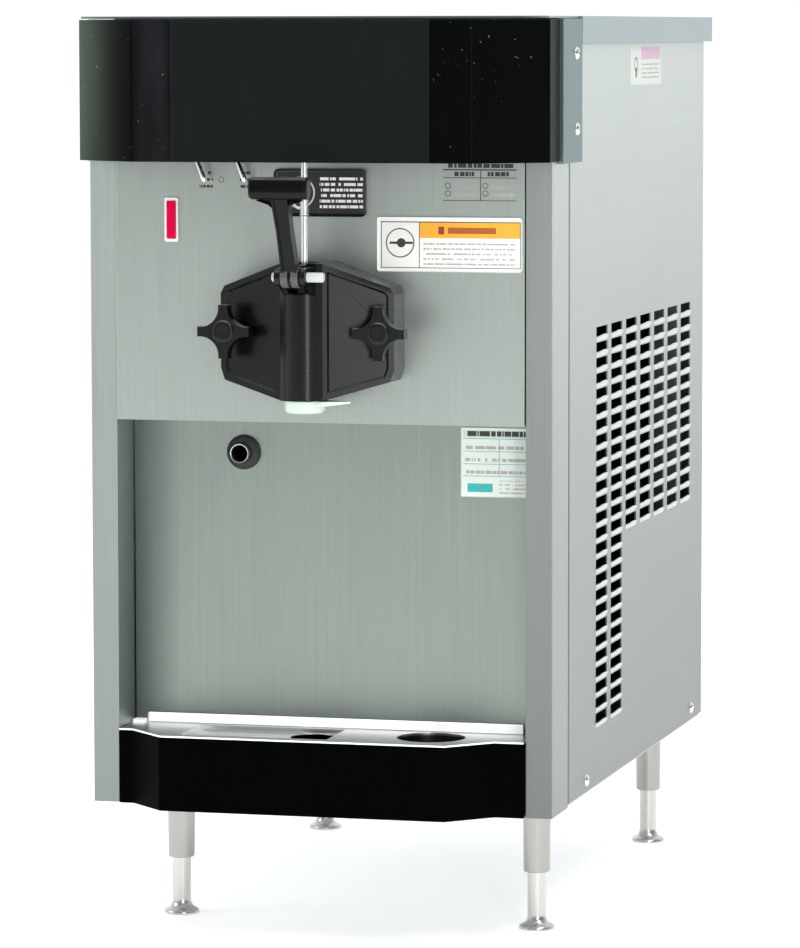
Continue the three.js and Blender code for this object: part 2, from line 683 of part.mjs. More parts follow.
// Outline round both pulleys at a given distance off their grooves.
function beltOutline(offset) {
  const big = BIG_PULLEY - 4 + offset;
  const small = SMALL_PULLEY - 4 + offset;
  const tilt = Math.asin((big - small) / (BARREL_Z - MOTOR_Z));
  const points = [];
  for (let i = 0; i <= 16; i += 1) {
    const angle = -tilt + ((Math.PI + 2 * tilt) * i) / 16;
    points.push([big * Math.cos(angle), BARREL_Z + big * Math.sin(angle)]);
  }
  for (let i = 0; i <= 10; i += 1) {
    const angle = Math.PI + tilt + ((Math.PI - 2 * tilt) * i) / 10;
    points.push([small * Math.cos(angle), MOTOR_Z + small * Math.sin(angle)]);
  }
  return points;
}

function driveBelt() {
  const middle = PULLEY_Y + PULLEY_WIDTH / 2;
  return frontal(beltOutline(5), middle - 3.4, middle + 3.4, [beltOutline(0.6)]);
}

function driveMotor() {
  const back = PULLEY_Y - 6;
  const front = back - MOTOR_LENGTH;
  const r = MOTOR_RADIUS;
  const profile = [[0, front], [r - 18, front], [r - 4, front + 12], [r, front + 30],
    [r, back - 30], [r - 4, back - 12], [r - 18, back], [0, back]];
  const can = turnedY(profile, 0, MOTOR_Z, 24);
  const foot = box(-42, 42, front + 35, back - 35, SHELF_Z + 3 + GAP, MOTOR_Z - 30);
  const bore = turnedY(rod(7 + RUNNING, back - 14, back + 2), 0, MOTOR_Z);
  return cut(join(can, foot), bore);
}

// ---------------------------------------------------------------- refrigeration
function compressor() {
  const floor = BASE_FLOOR + 2 + GAP;
  const profile = [[0, floor + 8], [58, floor + 8], [68, floor + 20], [72, floor + 34],
    [72, floor + 76], [76, floor + 78], [76, floor + 84], [72, floor + 86], [72, floor + 130],
    [60, floor + 158], [34, floor + 172], [0, floor + 176]];
  const pot = turnedZ(profile, -30, 180, 24);
  const plate = box(-105, 45, 125, 235, floor, floor + 10);
  const terminal = box(30, 56, 160, 200, floor + 90, floor + 140);
  return join(pot, plate, terminal);
}

// Finned coil with the fan's shroud riveted to its inner face.
function condenser() {
  const y0 = FAN_Y - CONDENSER_HALF;
  const y1 = FAN_Y + CONDENSER_HALF;
  const low = 190;
  const high = 560;
  const back = CONDENSER_X + CONDENSER_DEPTH;
  const pitch = (y1 - y0) / CONDENSER_FINS;
  const outline = [[CONDENSER_X, y0], [CONDENSER_X, y1]];
  for (let i = CONDENSER_FINS; i > 0; i -= 1) {
    const edge = y0 + i * pitch;
    outline.push([back, edge], [back, edge - pitch * 0.35]);
    outline.push([CONDENSER_X + 8, edge - pitch * 0.35], [CONDENSER_X + 8, edge - pitch]);
  }
  outline[outline.length - 1] = [CONDENSER_X + 8, y0];
  const fins = upright(outline, low, high);
  const shroudFront = CONDENSER_X - 9;
  const shroud = box(shroudFront, CONDENSER_X + 1, y0, y1, low, low + 220);
  const throat = turnedX(rod(FAN_RADIUS + 8, shroudFront - 1, CONDENSER_X - 2), FAN_Y, FAN_Z, 28);
  return join(fins, cut(shroud, throat));
}

function fanMotor() {
  const profile = [[0, 62], [26, 62], [34, 70], [34, 100], [26, 106], [0, 106]];
  const can = turnedX(profile, FAN_Y, FAN_Z, 24);
  const leg = box(74, 96, FAN_Y - 14, FAN_Y + 14, BASE_FLOOR + 2 + GAP, FAN_Z - 20);
  const bore = turnedX(rod(4.4, 96, 110), FAN_Y, FAN_Z, 16);
  return cut(join(can, leg), bore);
}

// Five pitched blades on a hub, with the stub of its shaft.
function fanBlades() {
  const middle = 124;
  const hub = turnedX([[0, 98], [4, 98], [4, 112], [20, 112], [20, 136], [0, 136]], 0, 0, 20);
  const blades = [];
  for (let i = 0; i < 5; i += 1) {
    const blade = new THREE.BoxGeometry(3, 40, FAN_RADIUS - 14);
    blade.rotateZ(THREE.MathUtils.degToRad(40)).translate(middle, 0, 14 + (FAN_RADIUS - 14) / 2);
    blades.push(blade.rotateX((i / 5) * 2 * Math.PI));
  }
  return join(hub, ...blades).translate(0, FAN_Y, FAN_Z);
}

// ---------------------------------------------------------------- controls
function drawSwitch() {
  return box(-10, 10, VALVE_Y - 9, VALVE_Y + 9, SWITCH_BOTTOM, HEADER_TOP - HEADER_WALL - GAP);
}

// Toggle switch: body, threaded bush and nut, hanging in the header.
function toggleBody(x) {
  const low = TOGGLE_PIVOT_Z + 1;
  const body = box(x - 7, x + 7, TOGGLE_Y - 9, -PANEL_PROUD - GAP, low + 11, low + 38);
  const bush = turnedZ(rod(5.5, low, low + 12), x, TOGGLE_Y, 20);
  const nut = turnedZ(rod(8, low + 6, low + 9), x, TOGGLE_Y, 6);
  const mouth = turnedZ([[0, low - 1], [4.6, low - 1], [4.6, low + 4], [0, low + 9]], x, TOGGLE_Y, 20);
  return cut(join(body, bush, nut), mouth);
}

// Bat lever, thin at its ball and thick at its tip, leaning to one side.
function toggleLever(x) {
  const tip = -TOGGLE_LENGTH;
  const profile = [[0, tip], [1.6, tip + 0.5], [2.5, tip + 2], [2.7, tip + 5], [1.5, -3],
    [2.4, -1], [2.6, 1], [1.4, 3], [0, 3.6]];
  const lever = turnedZ(profile, 0, 0, 12);
  lever.rotateY(THREE.MathUtils.degToRad(-TOGGLE_LEAN));
  return lever.translate(x, TOGGLE_Y, TOGGLE_PIVOT_Z);
}

function indicatorBezel() {
  const w = LIGHT_WIDTH / 2;
  const h = LIGHT_HEIGHT / 2;
  const outline = roundedRectangle(LIGHT_X - w, LIGHT_X + w, LIGHT_Z - h, LIGHT_Z + h, 1.5, 2);
  const hole = rectangle(LIGHT_X - w + 2.3, LIGHT_X + w - 2.3, LIGHT_Z - h + 3, LIGHT_Z + h - 3);
  return frontal(outline, -PANEL_PROUD - 2, -PANEL_PROUD - GAP, [hole]);
}

function indicatorLens() {
  const w = LIGHT_WIDTH / 2 - 2.3 - GAP;
  const h = LIGHT_HEIGHT / 2 - 3 - GAP;
  const face = box(LIGHT_X - w, LIGHT_X + w, -PANEL_PROUD - 3.2, -PANEL_PROUD - GAP, LIGHT_Z - h,
    LIGHT_Z + h);
  const stem = box(LIGHT_X - 3.2, LIGHT_X + 3.2, -PANEL_PROUD - 1, 10, LIGHT_Z - 15.5, LIGHT_Z + 15.5);
  return join(face, stem);
}

// ---------------------------------------------------------------- dispensing head
// Hexagonal block with wings that fall back from a round valve column.
function dispensingHead() {
  const side = HEAD_HALF;
  const front = [[-HEAD_CENTRE_HALF, HEAD_TOP], [-side + 4, HEAD_TOP - 22],
    [-side, HEAD_TOP - 29], [-side, BARREL_Z - HEAD_SIDE_HALF], [-side + 4, HEAD_BOTTOM + 17],
    [-HEAD_CENTRE_HALF, HEAD_BOTTOM], [HEAD_CENTRE_HALF, HEAD_BOTTOM],
    [side - 4, HEAD_BOTTOM + 17], [side, BARREL_Z - HEAD_SIDE_HALF],
    [side, HEAD_TOP - 29], [side - 4, HEAD_TOP - 22], [HEAD_CENTRE_HALF, HEAD_TOP]];
  const plan = [[-side - 1, HEAD_BACK], [-side - 1, -HEAD_SIDE_FRONT], [-HEAD_CENTRE_HALF, -HEAD_FRONT],
    [HEAD_CENTRE_HALF, -HEAD_FRONT], [side + 1, -HEAD_SIDE_FRONT], [side + 1, HEAD_BACK]];
  const wedge = common(frontal(front, -HEAD_FRONT - 1, HEAD_BACK),
    upright(plan, HEAD_BOTTOM - 1, HEAD_TOP + 1));
  const column = turnedZ(rod(COLUMN_RADIUS, HEAD_BOTTOM, HEAD_TOP), 0, VALVE_Y, 32);
  const ears = [-1, 1].map((s) => leverEar(s));
  const bore = turnedZ(rod(VALVE_BORE, HEAD_BOTTOM - 1, HEAD_TOP + 1), 0, VALVE_Y, 28);
  const slot = box(-5.5, 5.5, PIVOT_Y - 14, VALVE_Y, PIVOT_Z - 17, HEAD_TOP + 2);
  const seat = turnedY(rod(BARREL_OUTER + 4, GASKET_FACE, HEAD_BACK + 1), 0, BARREL_Z, 36);
  const passage = turnedY(rod(12, VALVE_Y, GASKET_FACE + 1), 0, BARREL_Z - 32, 20);
  const studs = [-1, 1].map((s) => turnedY(rod(STUD_RADIUS + GAP, -HEAD_FRONT - 1, HEAD_BACK + 1),
    s * STUD_SPREAD, BARREL_Z, 16));
  const pin = turnedX(rod(PIN_RADIUS + GAP, -30, 30), PIVOT_Y, PIVOT_Z, 16);
  return cut(join(wedge, column, ...ears), bore, slot, seat, passage, pin, ...studs);
}

// One of the two ears that hold the lever's pin.
function leverEar(side) {
  const inner = LEVER_HALF + 0.8;
  const radius = 8;
  const outline = [[VALVE_Y - 10, PIVOT_Z + radius], [VALVE_Y - 10, HEAD_TOP - 60]];
  outline.push([VALVE_Y - COLUMN_RADIUS + 1, HEAD_TOP - 48]);
  for (let i = 0; i <= 8; i += 1) {
    const angle = (-35 - (235 * i) / 8) * (Math.PI / 180);
    outline.push([PIVOT_Y + radius * Math.cos(angle), PIVOT_Z + radius * Math.sin(angle)]);
  }
  const x0 = side > 0 ? inner : -inner - EAR_THICKNESS;
  return sideways(outline, x0, x0 + EAR_THICKNESS);
}

function headGasket() {
  const radius = BARREL_OUTER - 0.5;
  const thick = 1.5;
  const profile = [];
  for (let i = 0; i <= 6; i += 1) {
    const angle = (i / 6) * 2 * Math.PI;
    profile.push([radius + thick * Math.cos(angle), BARREL_NOSE - 1.8 + thick * Math.sin(angle)]);
  }
  return turnedY(profile, 0, BARREL_Z, 28);
}

function stud(side) {
  return turnedY(rod(STUD_RADIUS, KNOB_FRONT + 6, 9), side * STUD_SPREAD, BARREL_Z, 16);
}

// Four-armed hand knob on a long collar, blind at the front.
function starKnob(side) {
  const x = side * STUD_SPREAD;
  const star = [];
  for (let i = 0; i < 4; i += 1) {
    const base = (i * Math.PI) / 2;
    for (const [turn, reach] of [[-0.5, 11], [-0.2, KNOB_REACH], [0.2, KNOB_REACH], [0.5, 11]]) {
      const angle = base + turn;
      star.push([x + reach * Math.cos(angle), BARREL_Z + reach * Math.sin(angle)]);
    }
  }
  const arms = frontal(star, KNOB_FRONT + 2, KNOB_FRONT + 15);
  const collar = turnedY([[0, KNOB_FRONT], [10, KNOB_FRONT], [11, KNOB_FRONT + 2],
    [11, KNOB_FRONT + 14], [9, KNOB_FRONT + 17], [9, KNOB_BACK], [0, KNOB_BACK]], x, BARREL_Z, 20);
  const thread = turnedY(rod(STUD_RADIUS + GAP, KNOB_FRONT + 5, KNOB_BACK + 1), x, BARREL_Z, 12);
  return cut(join(arms, collar), thread);
}

// Draw lever: T grip, arm, hub and a tongue that lifts the plunger.
function drawLever() {
  const lean = Math.atan2(GRIP_FORWARD, GRIP_RISE);
  const reach = Math.hypot(GRIP_FORWARD, GRIP_RISE);
  const arm = sideways([[-6, 0], [6, 0], [6.5, reach], [-6.5, reach]], -LEVER_HALF, LEVER_HALF);
  arm.rotateX(lean).translate(0, PIVOT_Y, PIVOT_Z);
  const hub = turnedX(rod(9, -LEVER_HALF, LEVER_HALF), PIVOT_Y, PIVOT_Z, 24);
  const half = TONGUE_THICKNESS / 2;
  const tongue = sideways(rectangle(PIVOT_Y, PIVOT_Y + TONGUE_REACH, PIVOT_Z - half, PIVOT_Z + half),
    -4.7, 4.7);
  const grip = sideways(roundedRectangle(-GRIP_DEPTH / 2, GRIP_DEPTH / 2, -GRIP_HEIGHT / 2,
    GRIP_HEIGHT / 2, 7), -GRIP_HALF, GRIP_HALF);
  grip.translate(0, GRIP_Y, GRIP_Z);
  const hole = turnedX(rod(PIN_RADIUS + GAP, -30, 30), PIVOT_Y, PIVOT_Z, 16);
  return cut(join(arm, hub, tongue, grip), hole);
}

function pivotPin() {
  const ear = LEVER_HALF + 0.8 + EAR_THICKNESS + 0.4;
  const profile = [[0, -ear - 3], [4.2, -ear - 3], [4.2, -ear], [PIN_RADIUS, -ear],
    [PIN_RADIUS, ear], [4.4, ear], [4.4, ear + 15], [3.4, ear + 16], [0, ear + 16]];
  return turnedX(profile, PIVOT_Y, PIVOT_Z, 16);
}

function valvePlunger() {
  const radius = VALVE_BORE - VALVE_FIT;
  const profile = [[0, PLUNGER_BOTTOM], [radius - 3, PLUNGER_BOTTOM], [radius, PLUNGER_BOTTOM + 6],
    [radius, PLUNGER_TOP], [0, PLUNGER_TOP]];
  const body = turnedZ(profile, 0, VALVE_Y, 28);
  const slot = box(-5.2, 5.2, VALVE_Y - 20, VALVE_Y + 4, PIVOT_Z - 8, PIVOT_Z + 8);
  return cut(body, slot);
}

// Rod that the plunger lifts against the draw switch.
function switchRod() {
  return turnedZ(rod(ROD_RADIUS, PLUNGER_TOP + GAP, ROD_TOP), 0, VALVE_Y, 16);
}

// Outlet cap with a pointed finger tab.
function spoutCap() {
  const top = HEAD_BOTTOM - GAP;
  const profile = [[0, top - 11.4], [15, top - 11.4], [18.4, top - 7], [18.4, top], [0, top]];
  const cap = turnedZ(profile, 0, VALVE_Y, 28);
  const tab = upright([[0, VALVE_Y - 15], [43, VALVE_Y], [0, VALVE_Y + 15]], top - 2.2, top);
  const outlet = turnedZ(rod(11, top - 13, top + 1), 0, VALVE_Y, 24);
  return cut(join(cap, tab), outlet);
}

// ---------------------------------------------------------------- drain and drip tray
function drainTube() {
  const back = DRAIN_FRONT + DRAIN_LENGTH;
  return turnedY(ring(DRAIN_BORE, DRAIN_RADIUS, DRAIN_FRONT, back), DRAIN_X, DRAIN_Z, 20);
}

function drainGrommet() {
  const bore = DRAIN_RADIUS + GAP;
  const neck = GROMMET_RADIUS - 2.2 - GAP;
  const face = RECESS_DEPTH - GAP;
  const behind = RECESS_DEPTH + SHEET + GAP;
  const profile = [[bore, face - 6], [bore + 3, face - 6], [GROMMET_RADIUS, face - 3],
    [GROMMET_RADIUS, face], [neck, face], [neck, behind], [GROMMET_RADIUS - 0.7, behind],
    [GROMMET_RADIUS - 2, behind + 3], [bore, behind + 3], [bore, face - 6]];
  return turnedY(profile, DRAIN_X, DRAIN_Z, 28);
}

// Plan of the tray's apron, drawn in by a margin.
function apronOutline(margin, back) {
  const side = POST_INNER - SLIP - margin;
  const stub = -(TRAY_FRONT - TRAY_CHAMFER) + margin;
  const front = -TRAY_FRONT + margin;
  const left = -POST_INNER + TRAY_STUB[0] + margin * 0.4;
  const right = POST_INNER - TRAY_STUB[1] - margin * 0.4;
  return [[-side, back], [-side, stub], [left, stub], [left + TRAY_CHAMFER, front],
    [right - TRAY_CHAMFER, front], [right, stub], [side, stub], [side, back]];
}

function dripTray() {
  const back = RECESS_DEPTH - 2;
  const block = upright(apronOutline(0, back), CABINET_BOTTOM, TRAY_TOP);
  const under = box(-HALF, HALF, 0.4, back + 5, CABINET_BOTTOM - 1, TRAY_FLOOR - 1);
  const hollow = upright(apronOutline(TRAY_WALL, back - TRAY_WALL), TRAY_FLOOR + 2, TRAY_TOP + 1);
  return cut(block, under, hollow);
}

// Steel top of the tray: a dished part with a drain hole, a round well and a rear upstand.
function trayInsert() {
  const z = TRAY_TOP + GAP;
  const top = z + INSERT_SHEET;
  const back = RECESS_DEPTH - 2.5;
  const plate = upright(apronOutline(1, back), z, top);
  const upstand = box(-182, 182, back - INSERT_SHEET, back, z, top + UPSTAND);
  const well = turnedZ(rod(WELL_RADIUS, z - WELL_DEPTH, top), WELL_X, WELL_Y, 36);
  const wellHollow = turnedZ(rod(WELL_RADIUS - INSERT_SHEET, z - WELL_DEPTH + INSERT_SHEET, top + 1),
    WELL_X, WELL_Y, 36);
  const dishBack = back - 6;
  const dish = box(DISH_LEFT, DISH_RIGHT, DISH_FRONT, dishBack, z - DISH_DEPTH, top);
  const dishHollow = box(DISH_LEFT + INSERT_SHEET, DISH_RIGHT - INSERT_SHEET,
    DISH_FRONT + INSERT_SHEET, dishBack - INSERT_SHEET, z - DISH_DEPTH + INSERT_SHEET, top + 1);
  const sump = turnedZ(rod(SUMP_RADIUS, z - DISH_DEPTH - 2, z - 1), SUMP_X, SUMP_Y, 32);
  return cut(join(plate, upstand, well, dish), wellHollow, dishHollow, sump);
}

// ---------------------------------------------------------------- legs
function legSleeve(x, y) {
  const top = BASE_FLOOR - GAP;
  const bottom = top - SLEEVE_LENGTH;
  const bore = FOOT_TUBE + 0.25;
  const profile = [[bore, bottom], [SLEEVE_END_RADIUS, bottom], [SLEEVE_TOP_RADIUS, top],
    [bore, top], [bore, bottom]];
  return turnedZ(profile, x, y, 20);
}

function levellingFoot(x, y) {
  const profile = [[0, 0], [FOOT_RADIUS, 0], [FOOT_RADIUS, 3], [FOOT_RADIUS - 2, 5],
    [FOOT_TUBE, 10], [FOOT_TUBE, 104], [0, 104]];
  return turnedZ(profile, x, y, 20);
}

// ---------------------------------------------------------------- the machine
place('base_pan', basePan(), DULL_STEEL);
place('post_left', cornerPost(-1), STAINLESS);
place('post_right', cornerPost(1), STAINLESS);
place('side_panel_left', sidePanel(-1), STAINLESS);
place('side_panel_right', cut(sidePanel(1), mergeGeometries(louvreSlots())), STAINLESS);
place('rear_panel', rearPanel(), STAINLESS);
place('cord_inlet', cordInlet(), RUBBER);
place('top_cover', topCover(), COVER_BLUE);
place('header_cheek_left', headerCheek(-1), COVER_BLUE);
place('header_cheek_right', headerCheek(1), COVER_BLUE);
place('header_fascia', headerFascia(), HEADER_BLACK);
place('sign_plate', signPlate(), SIGN_BLACK);
place('front_panel', frontPanel(), STAINLESS);
place('recess_panel', recessPanel(), STAINLESS);
place('inner_frame', innerFrame(), DULL_STEEL);
place('hopper', hopper(), STAINLESS);
place('hopper_lid', hopperLid(), STAINLESS);
place('mix_feed_tube', mixFeedTube(), STAINLESS);
place('freezing_barrel', freezingBarrel(), DULL_STEEL);
place('beater', beater(), STAINLESS);
place('shaft_seal', shaftSeal(), RUBBER);
place('gear_reducer', gearReducer(), CAST);
place('reducer_pulley', pulley(BIG_PULLEY, BARREL_Z), CAST);
place('drive_belt', driveBelt(), RUBBER);
place('motor_pulley', pulley(SMALL_PULLEY, MOTOR_Z), CAST);
place('drive_motor', driveMotor(), PAINTED_BLACK);
place('compressor', compressor(), PAINTED_BLACK);
place('condenser', condenser(), PAINTED_BLACK);
place('fan_blades', fanBlades(), ALUMINIUM);
place('fan_motor', fanMotor(), PAINTED_BLACK);
place('draw_switch', drawSwitch(), MOULDED_BLACK);
place('toggle_body_left', toggleBody(TOGGLE_X[0]), MOULDED_BLACK);
place('toggle_body_right', toggleBody(TOGGLE_X[1]), MOULDED_BLACK);
place('toggle_lever_left', toggleLever(TOGGLE_X[0]), CHROME);
place('toggle_lever_right', toggleLever(TOGGLE_X[1]), CHROME);
place('indicator_bezel', indicatorBezel(), WHITE_PLASTIC);
place('indicator_lens', indicatorLens(), LENS_RED);
place('dispensing_head', dispensingHead(), MOULDED_BLACK);
place('head_gasket', headGasket(), RUBBER);
place('stud_left', stud(-1), STAINLESS);
place('stud_right', stud(1), STAINLESS);
place('knob_left', starKnob(-1), MOULDED_BLACK);
place('knob_right', starKnob(1), MOULDED_BLACK);
place('draw_lever', drawLever(), MOULDED_BLACK);
place('pivot_pin', pivotPin(), WHITE_PLASTIC);
place('valve_plunger', valvePlunger(), MOULDED_BLACK);
place('switch_rod', switchRod(), CHROME);
place('spout_cap', spoutCap(), SPOUT_GREEN);
place('drain_tube', drainTube(), STAINLESS);
place('drain_grommet', drainGrommet(), RUBBER);
place('drip_tray', dripTray(), MOULDED_BLACK);
place('tray_insert', trayInsert(), STAINLESS);

const legPlaces = {
  front_left: [-LEG_X, LEG_FRONT],
  front_right: [LEG_X, LEG_FRONT],
  rear_left: [-LEG_X, CABINET_DEPTH - LEG_FROM_REAR],
  rear_right: [LEG_X, CABINET_DEPTH - LEG_FROM_REAR],
};
for (const [corner, [x, y]] of Object.entries(legPlaces)) {
  place(`leg_sleeve_${corner}`, legSleeve(x, y), STAINLESS);
  place(`foot_${corner}`, levellingFoot(x, y), STAINLESS);
}

export default machine;
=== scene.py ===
import math
from contextlib import contextmanager

import bpy
from mathutils import Matrix, Vector


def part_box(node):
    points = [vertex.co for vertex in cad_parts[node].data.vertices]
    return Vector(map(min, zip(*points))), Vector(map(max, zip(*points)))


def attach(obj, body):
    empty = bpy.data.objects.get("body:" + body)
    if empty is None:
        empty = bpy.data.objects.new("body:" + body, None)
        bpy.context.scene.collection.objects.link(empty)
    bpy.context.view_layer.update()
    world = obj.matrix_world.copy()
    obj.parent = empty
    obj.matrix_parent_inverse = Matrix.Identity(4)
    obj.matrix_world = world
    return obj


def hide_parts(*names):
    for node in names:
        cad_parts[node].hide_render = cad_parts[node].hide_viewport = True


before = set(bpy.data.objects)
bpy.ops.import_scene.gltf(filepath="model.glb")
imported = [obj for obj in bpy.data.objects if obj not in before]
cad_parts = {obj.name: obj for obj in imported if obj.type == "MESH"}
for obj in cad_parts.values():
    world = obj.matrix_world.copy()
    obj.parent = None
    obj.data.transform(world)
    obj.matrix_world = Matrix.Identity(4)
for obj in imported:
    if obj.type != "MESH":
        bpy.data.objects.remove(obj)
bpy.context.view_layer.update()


# ------------------------------------------------------------ counter, light and camera
# The machine stands on a plain pale counter in soft white light, brighter behind and on its
# left than in front. Sizes are in millimetres from the middle of the cabinet's front face.
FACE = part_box("post_left")[0][1]
EYE = (1204.2, -4318.0, 846.3)
EYE_TURN = 0.2554
EYE_DROP = 0.0906
EYE_ROLL = -0.0014
EYE_LENS = 185.6
SENSOR_WIDTH = 36
FAR = 400
COUNTER_SIZE = 300


def at(x, y, z):
    return Vector((x / 1000, FACE + y / 1000, z / 1000))


class Wire:
    """One output of a shader tree. Arithmetic on it adds Math nodes."""

    def __init__(self, tree, socket):
        self.tree = tree
        self.socket = socket

    def maths(self, operation, *values):
        node = self.tree.nodes.new("ShaderNodeMath")
        node.operation = operation
        for slot, value in zip(node.inputs, values):
            if isinstance(value, Wire):
                self.tree.links.new(value.socket, slot)
            else:
                slot.default_value = value
        return Wire(self.tree, node.outputs[0])

    def __add__(self, other):
        return self.maths("ADD", self, other)

    def __sub__(self, other):
        return self.maths("SUBTRACT", self, other)

    def __rsub__(self, other):
        return self.maths("SUBTRACT", other, self)

    def __mul__(self, other):
        return self.maths("MULTIPLY", self, other)

    def __truediv__(self, other):
        return self.maths("DIVIDE", self, other)

    def __pow__(self, other):
        return self.maths("POWER", self, other)

    def __gt__(self, other):
        return self.maths("GREATER_THAN", self, other)

    def __lt__(self, other):
        return self.maths("LESS_THAN", self, other)

    __radd__ = __add__
    __rmul__ = __mul__

    def size(self):
        return self.maths("ABSOLUTE", self)

    def floor(self):
        return self.maths("FLOOR", self)

    def fraction(self):
        return self.maths("FRACT", self)

    def greater(self, other):
        return self.maths("MAXIMUM", self, other)

    def within(self, low, high):
        return (self > low) * (self < high)

    def ramp(self, low, high):
        node = self.tree.nodes.new("ShaderNodeMapRange")
        self.tree.links.new(self.socket, node.inputs["Value"])
        node.inputs["From Min"].default_value = low
        node.inputs["From Max"].default_value = high
        return Wire(self.tree, node.outputs[0])


class Tree:
    """A shader tree, with one method that adds any node."""

    def __init__(self, tree):
        self.tree = tree

    def node(self, kind, values=None, out=0, **settings):
        node = self.tree.nodes.new("ShaderNode" + kind)
        for name, value in settings.items():
            setattr(node, name, value)
        for name, value in (values or {}).items():
            if isinstance(value, Wire):
                self.tree.links.new(value.socket, node.inputs[name])
            else:
                node.inputs[name].default_value = value
        return Wire(self.tree, node.outputs[out])

    def split(self, vector):
        node = self.tree.nodes.new("ShaderNodeSeparateXYZ")
        self.tree.links.new(vector.socket, node.inputs[0])
        return [Wire(self.tree, output) for output in node.outputs]


room = bpy.data.worlds.new("studio")
bpy.context.scene.world = room
room.use_nodes = True
air = Tree(room.node_tree)
east, north, up = air.split(air.node("TexCoord"))
behind = north.ramp(0.15, 0.75)
left_side = (east * -1).ramp(0.35, 0.95)
above = up.ramp(0.15, 0.9)
right_front = (east - north).ramp(0.9, 1.35)
glow = 0.30 + behind * 0.74 + left_side * 0.42 + above * 0.20 - right_front * 0.22
sky = room.node_tree.nodes["Background"]
room.node_tree.links.new(glow.socket, sky.inputs["Strength"])
sky.inputs["Color"].default_value = (0.985, 1.0, 0.985, 1)

# Each lamp's place, what it is aimed at, its width and height in metres, its watts and its tint.
lamps = {
    "overhead": ((250, -300, 3300), (0, 200, 0), 3.2, 3.2, 70, (1, 1, 0.99)),
    "key": ((1500, -1500, 2300), (0, 0, 520), 0.7, 0.7, 26, (1, 1, 1)),
    "left_bank": ((-2600, -900, 1500), (0, 100, 500), 1.4, 1.4, 16, (1, 0.99, 0.97)),
    "low_strip": ((1450, -2700, 700), (0, -60, 560), 0.40, 1.12, 19, (1, 1, 1)),
}
for name, (place, aim, width, height, power, tint) in lamps.items():
    bulb = bpy.data.lights.new(name, "AREA")
    bulb.shape = "RECTANGLE"
    bulb.size = width
    bulb.size_y = height
    bulb.energy = power
    bulb.color = tint
    lamp = bpy.data.objects.new(name, bulb)
    bpy.context.collection.objects.link(lamp)
    lamp.location = at(*place)
    lamp.rotation_euler = (at(*aim) - at(*place)).to_track_quat("-Z", "Y").to_euler()

bpy.ops.object.select_all(action="DESELECT")
bpy.ops.mesh.primitive_plane_add(size=COUNTER_SIZE, location=(0, 140, 0))
counter = bpy.context.active_object
counter.name = "counter_top"
top_paint = bpy.data.materials.new("counter_white")
top_paint.use_nodes = True
paint_sockets = top_paint.node_tree.nodes["Principled BSDF"].inputs
for name, value in {"Base Color": (0.93, 0.93, 0.93, 1), "Roughness": 0.9,
                    "Emission Color": (1, 1, 1, 1), "Emission Strength": 0.42}.items():
    paint_sockets[name].default_value = value
counter.data.materials.append(top_paint)

look = Vector((-math.sin(EYE_TURN) * math.cos(EYE_DROP), math.cos(EYE_TURN) * math.cos(EYE_DROP),
               -math.sin(EYE_DROP)))
camera = bpy.data.objects.new("camera", bpy.data.cameras.new("camera"))
bpy.context.collection.objects.link(camera)
camera.data.lens = EYE_LENS
camera.data.sensor_width = SENSOR_WIDTH
camera.data.clip_end = FAR
camera.location = at(*EYE)
camera.rotation_euler = (look.to_track_quat("-Z", "Y").to_matrix().to_4x4()
                         @ Matrix.Rotation(EYE_ROLL, 4, "Z")).to_euler()
bpy.context.scene.camera = camera
bpy.context.scene.view_settings.view_transform = "Standard"


# ------------------------------------------------------------ base pan and corner posts
# Folded 1.5 mm stainless channels riveted to a plain pan under the machinery. Their fronts are
# brushed upright, and each fold has a small outside radius.
class Finish(Tree):
    """One material: its tree, its surface shader and the textures that all of them use."""

    def __init__(self, name, **values):
        self.material = bpy.data.materials.new(name)
        self.material.use_nodes = True
        super().__init__(self.material.node_tree)
        self.shader = self.tree.nodes["Principled BSDF"]
        self.give(**values)

    def give(self, **values):
        for name, value in values.items():
            socket = self.shader.inputs[name.replace("_", " ")]
            if isinstance(value, Wire):
                self.tree.links.new(value.socket, socket)
            elif isinstance(value, tuple):
                socket.default_value = (*value, 1)
            else:
                socket.default_value = value

    def places(self):
        """Where a point is, in metres across, back and up."""
        return self.split(self.node("TexCoord", out=3))

    def noise(self, scale, detail=3.0, rough=0.55):
        steps = scale if isinstance(scale, tuple) else (scale,) * 3
        spot = self.node("Mapping", {"Vector": self.node("TexCoord", out=3), "Scale": steps})
        return self.node("TexNoise", {"Vector": spot, "Scale": 1.0, "Detail": detail,
                                      "Roughness": rough})

    def mix(self, part, first, second):
        ends = {}
        for slot, colour in ((6, first), (7, second)):
            ends[slot] = colour if isinstance(colour, Wire) else (*colour, 1)
        return self.node("Mix", {0: part, **ends}, out=2, data_type="RGBA")

    def bump(self, height, strength, depth):
        self.give(Normal=self.node("Bump", {"Height": height, "Strength": strength,
                                            "Distance": depth}))


def times(colour, factor):
    return tuple(min(1.0, part * factor) for part in colour)


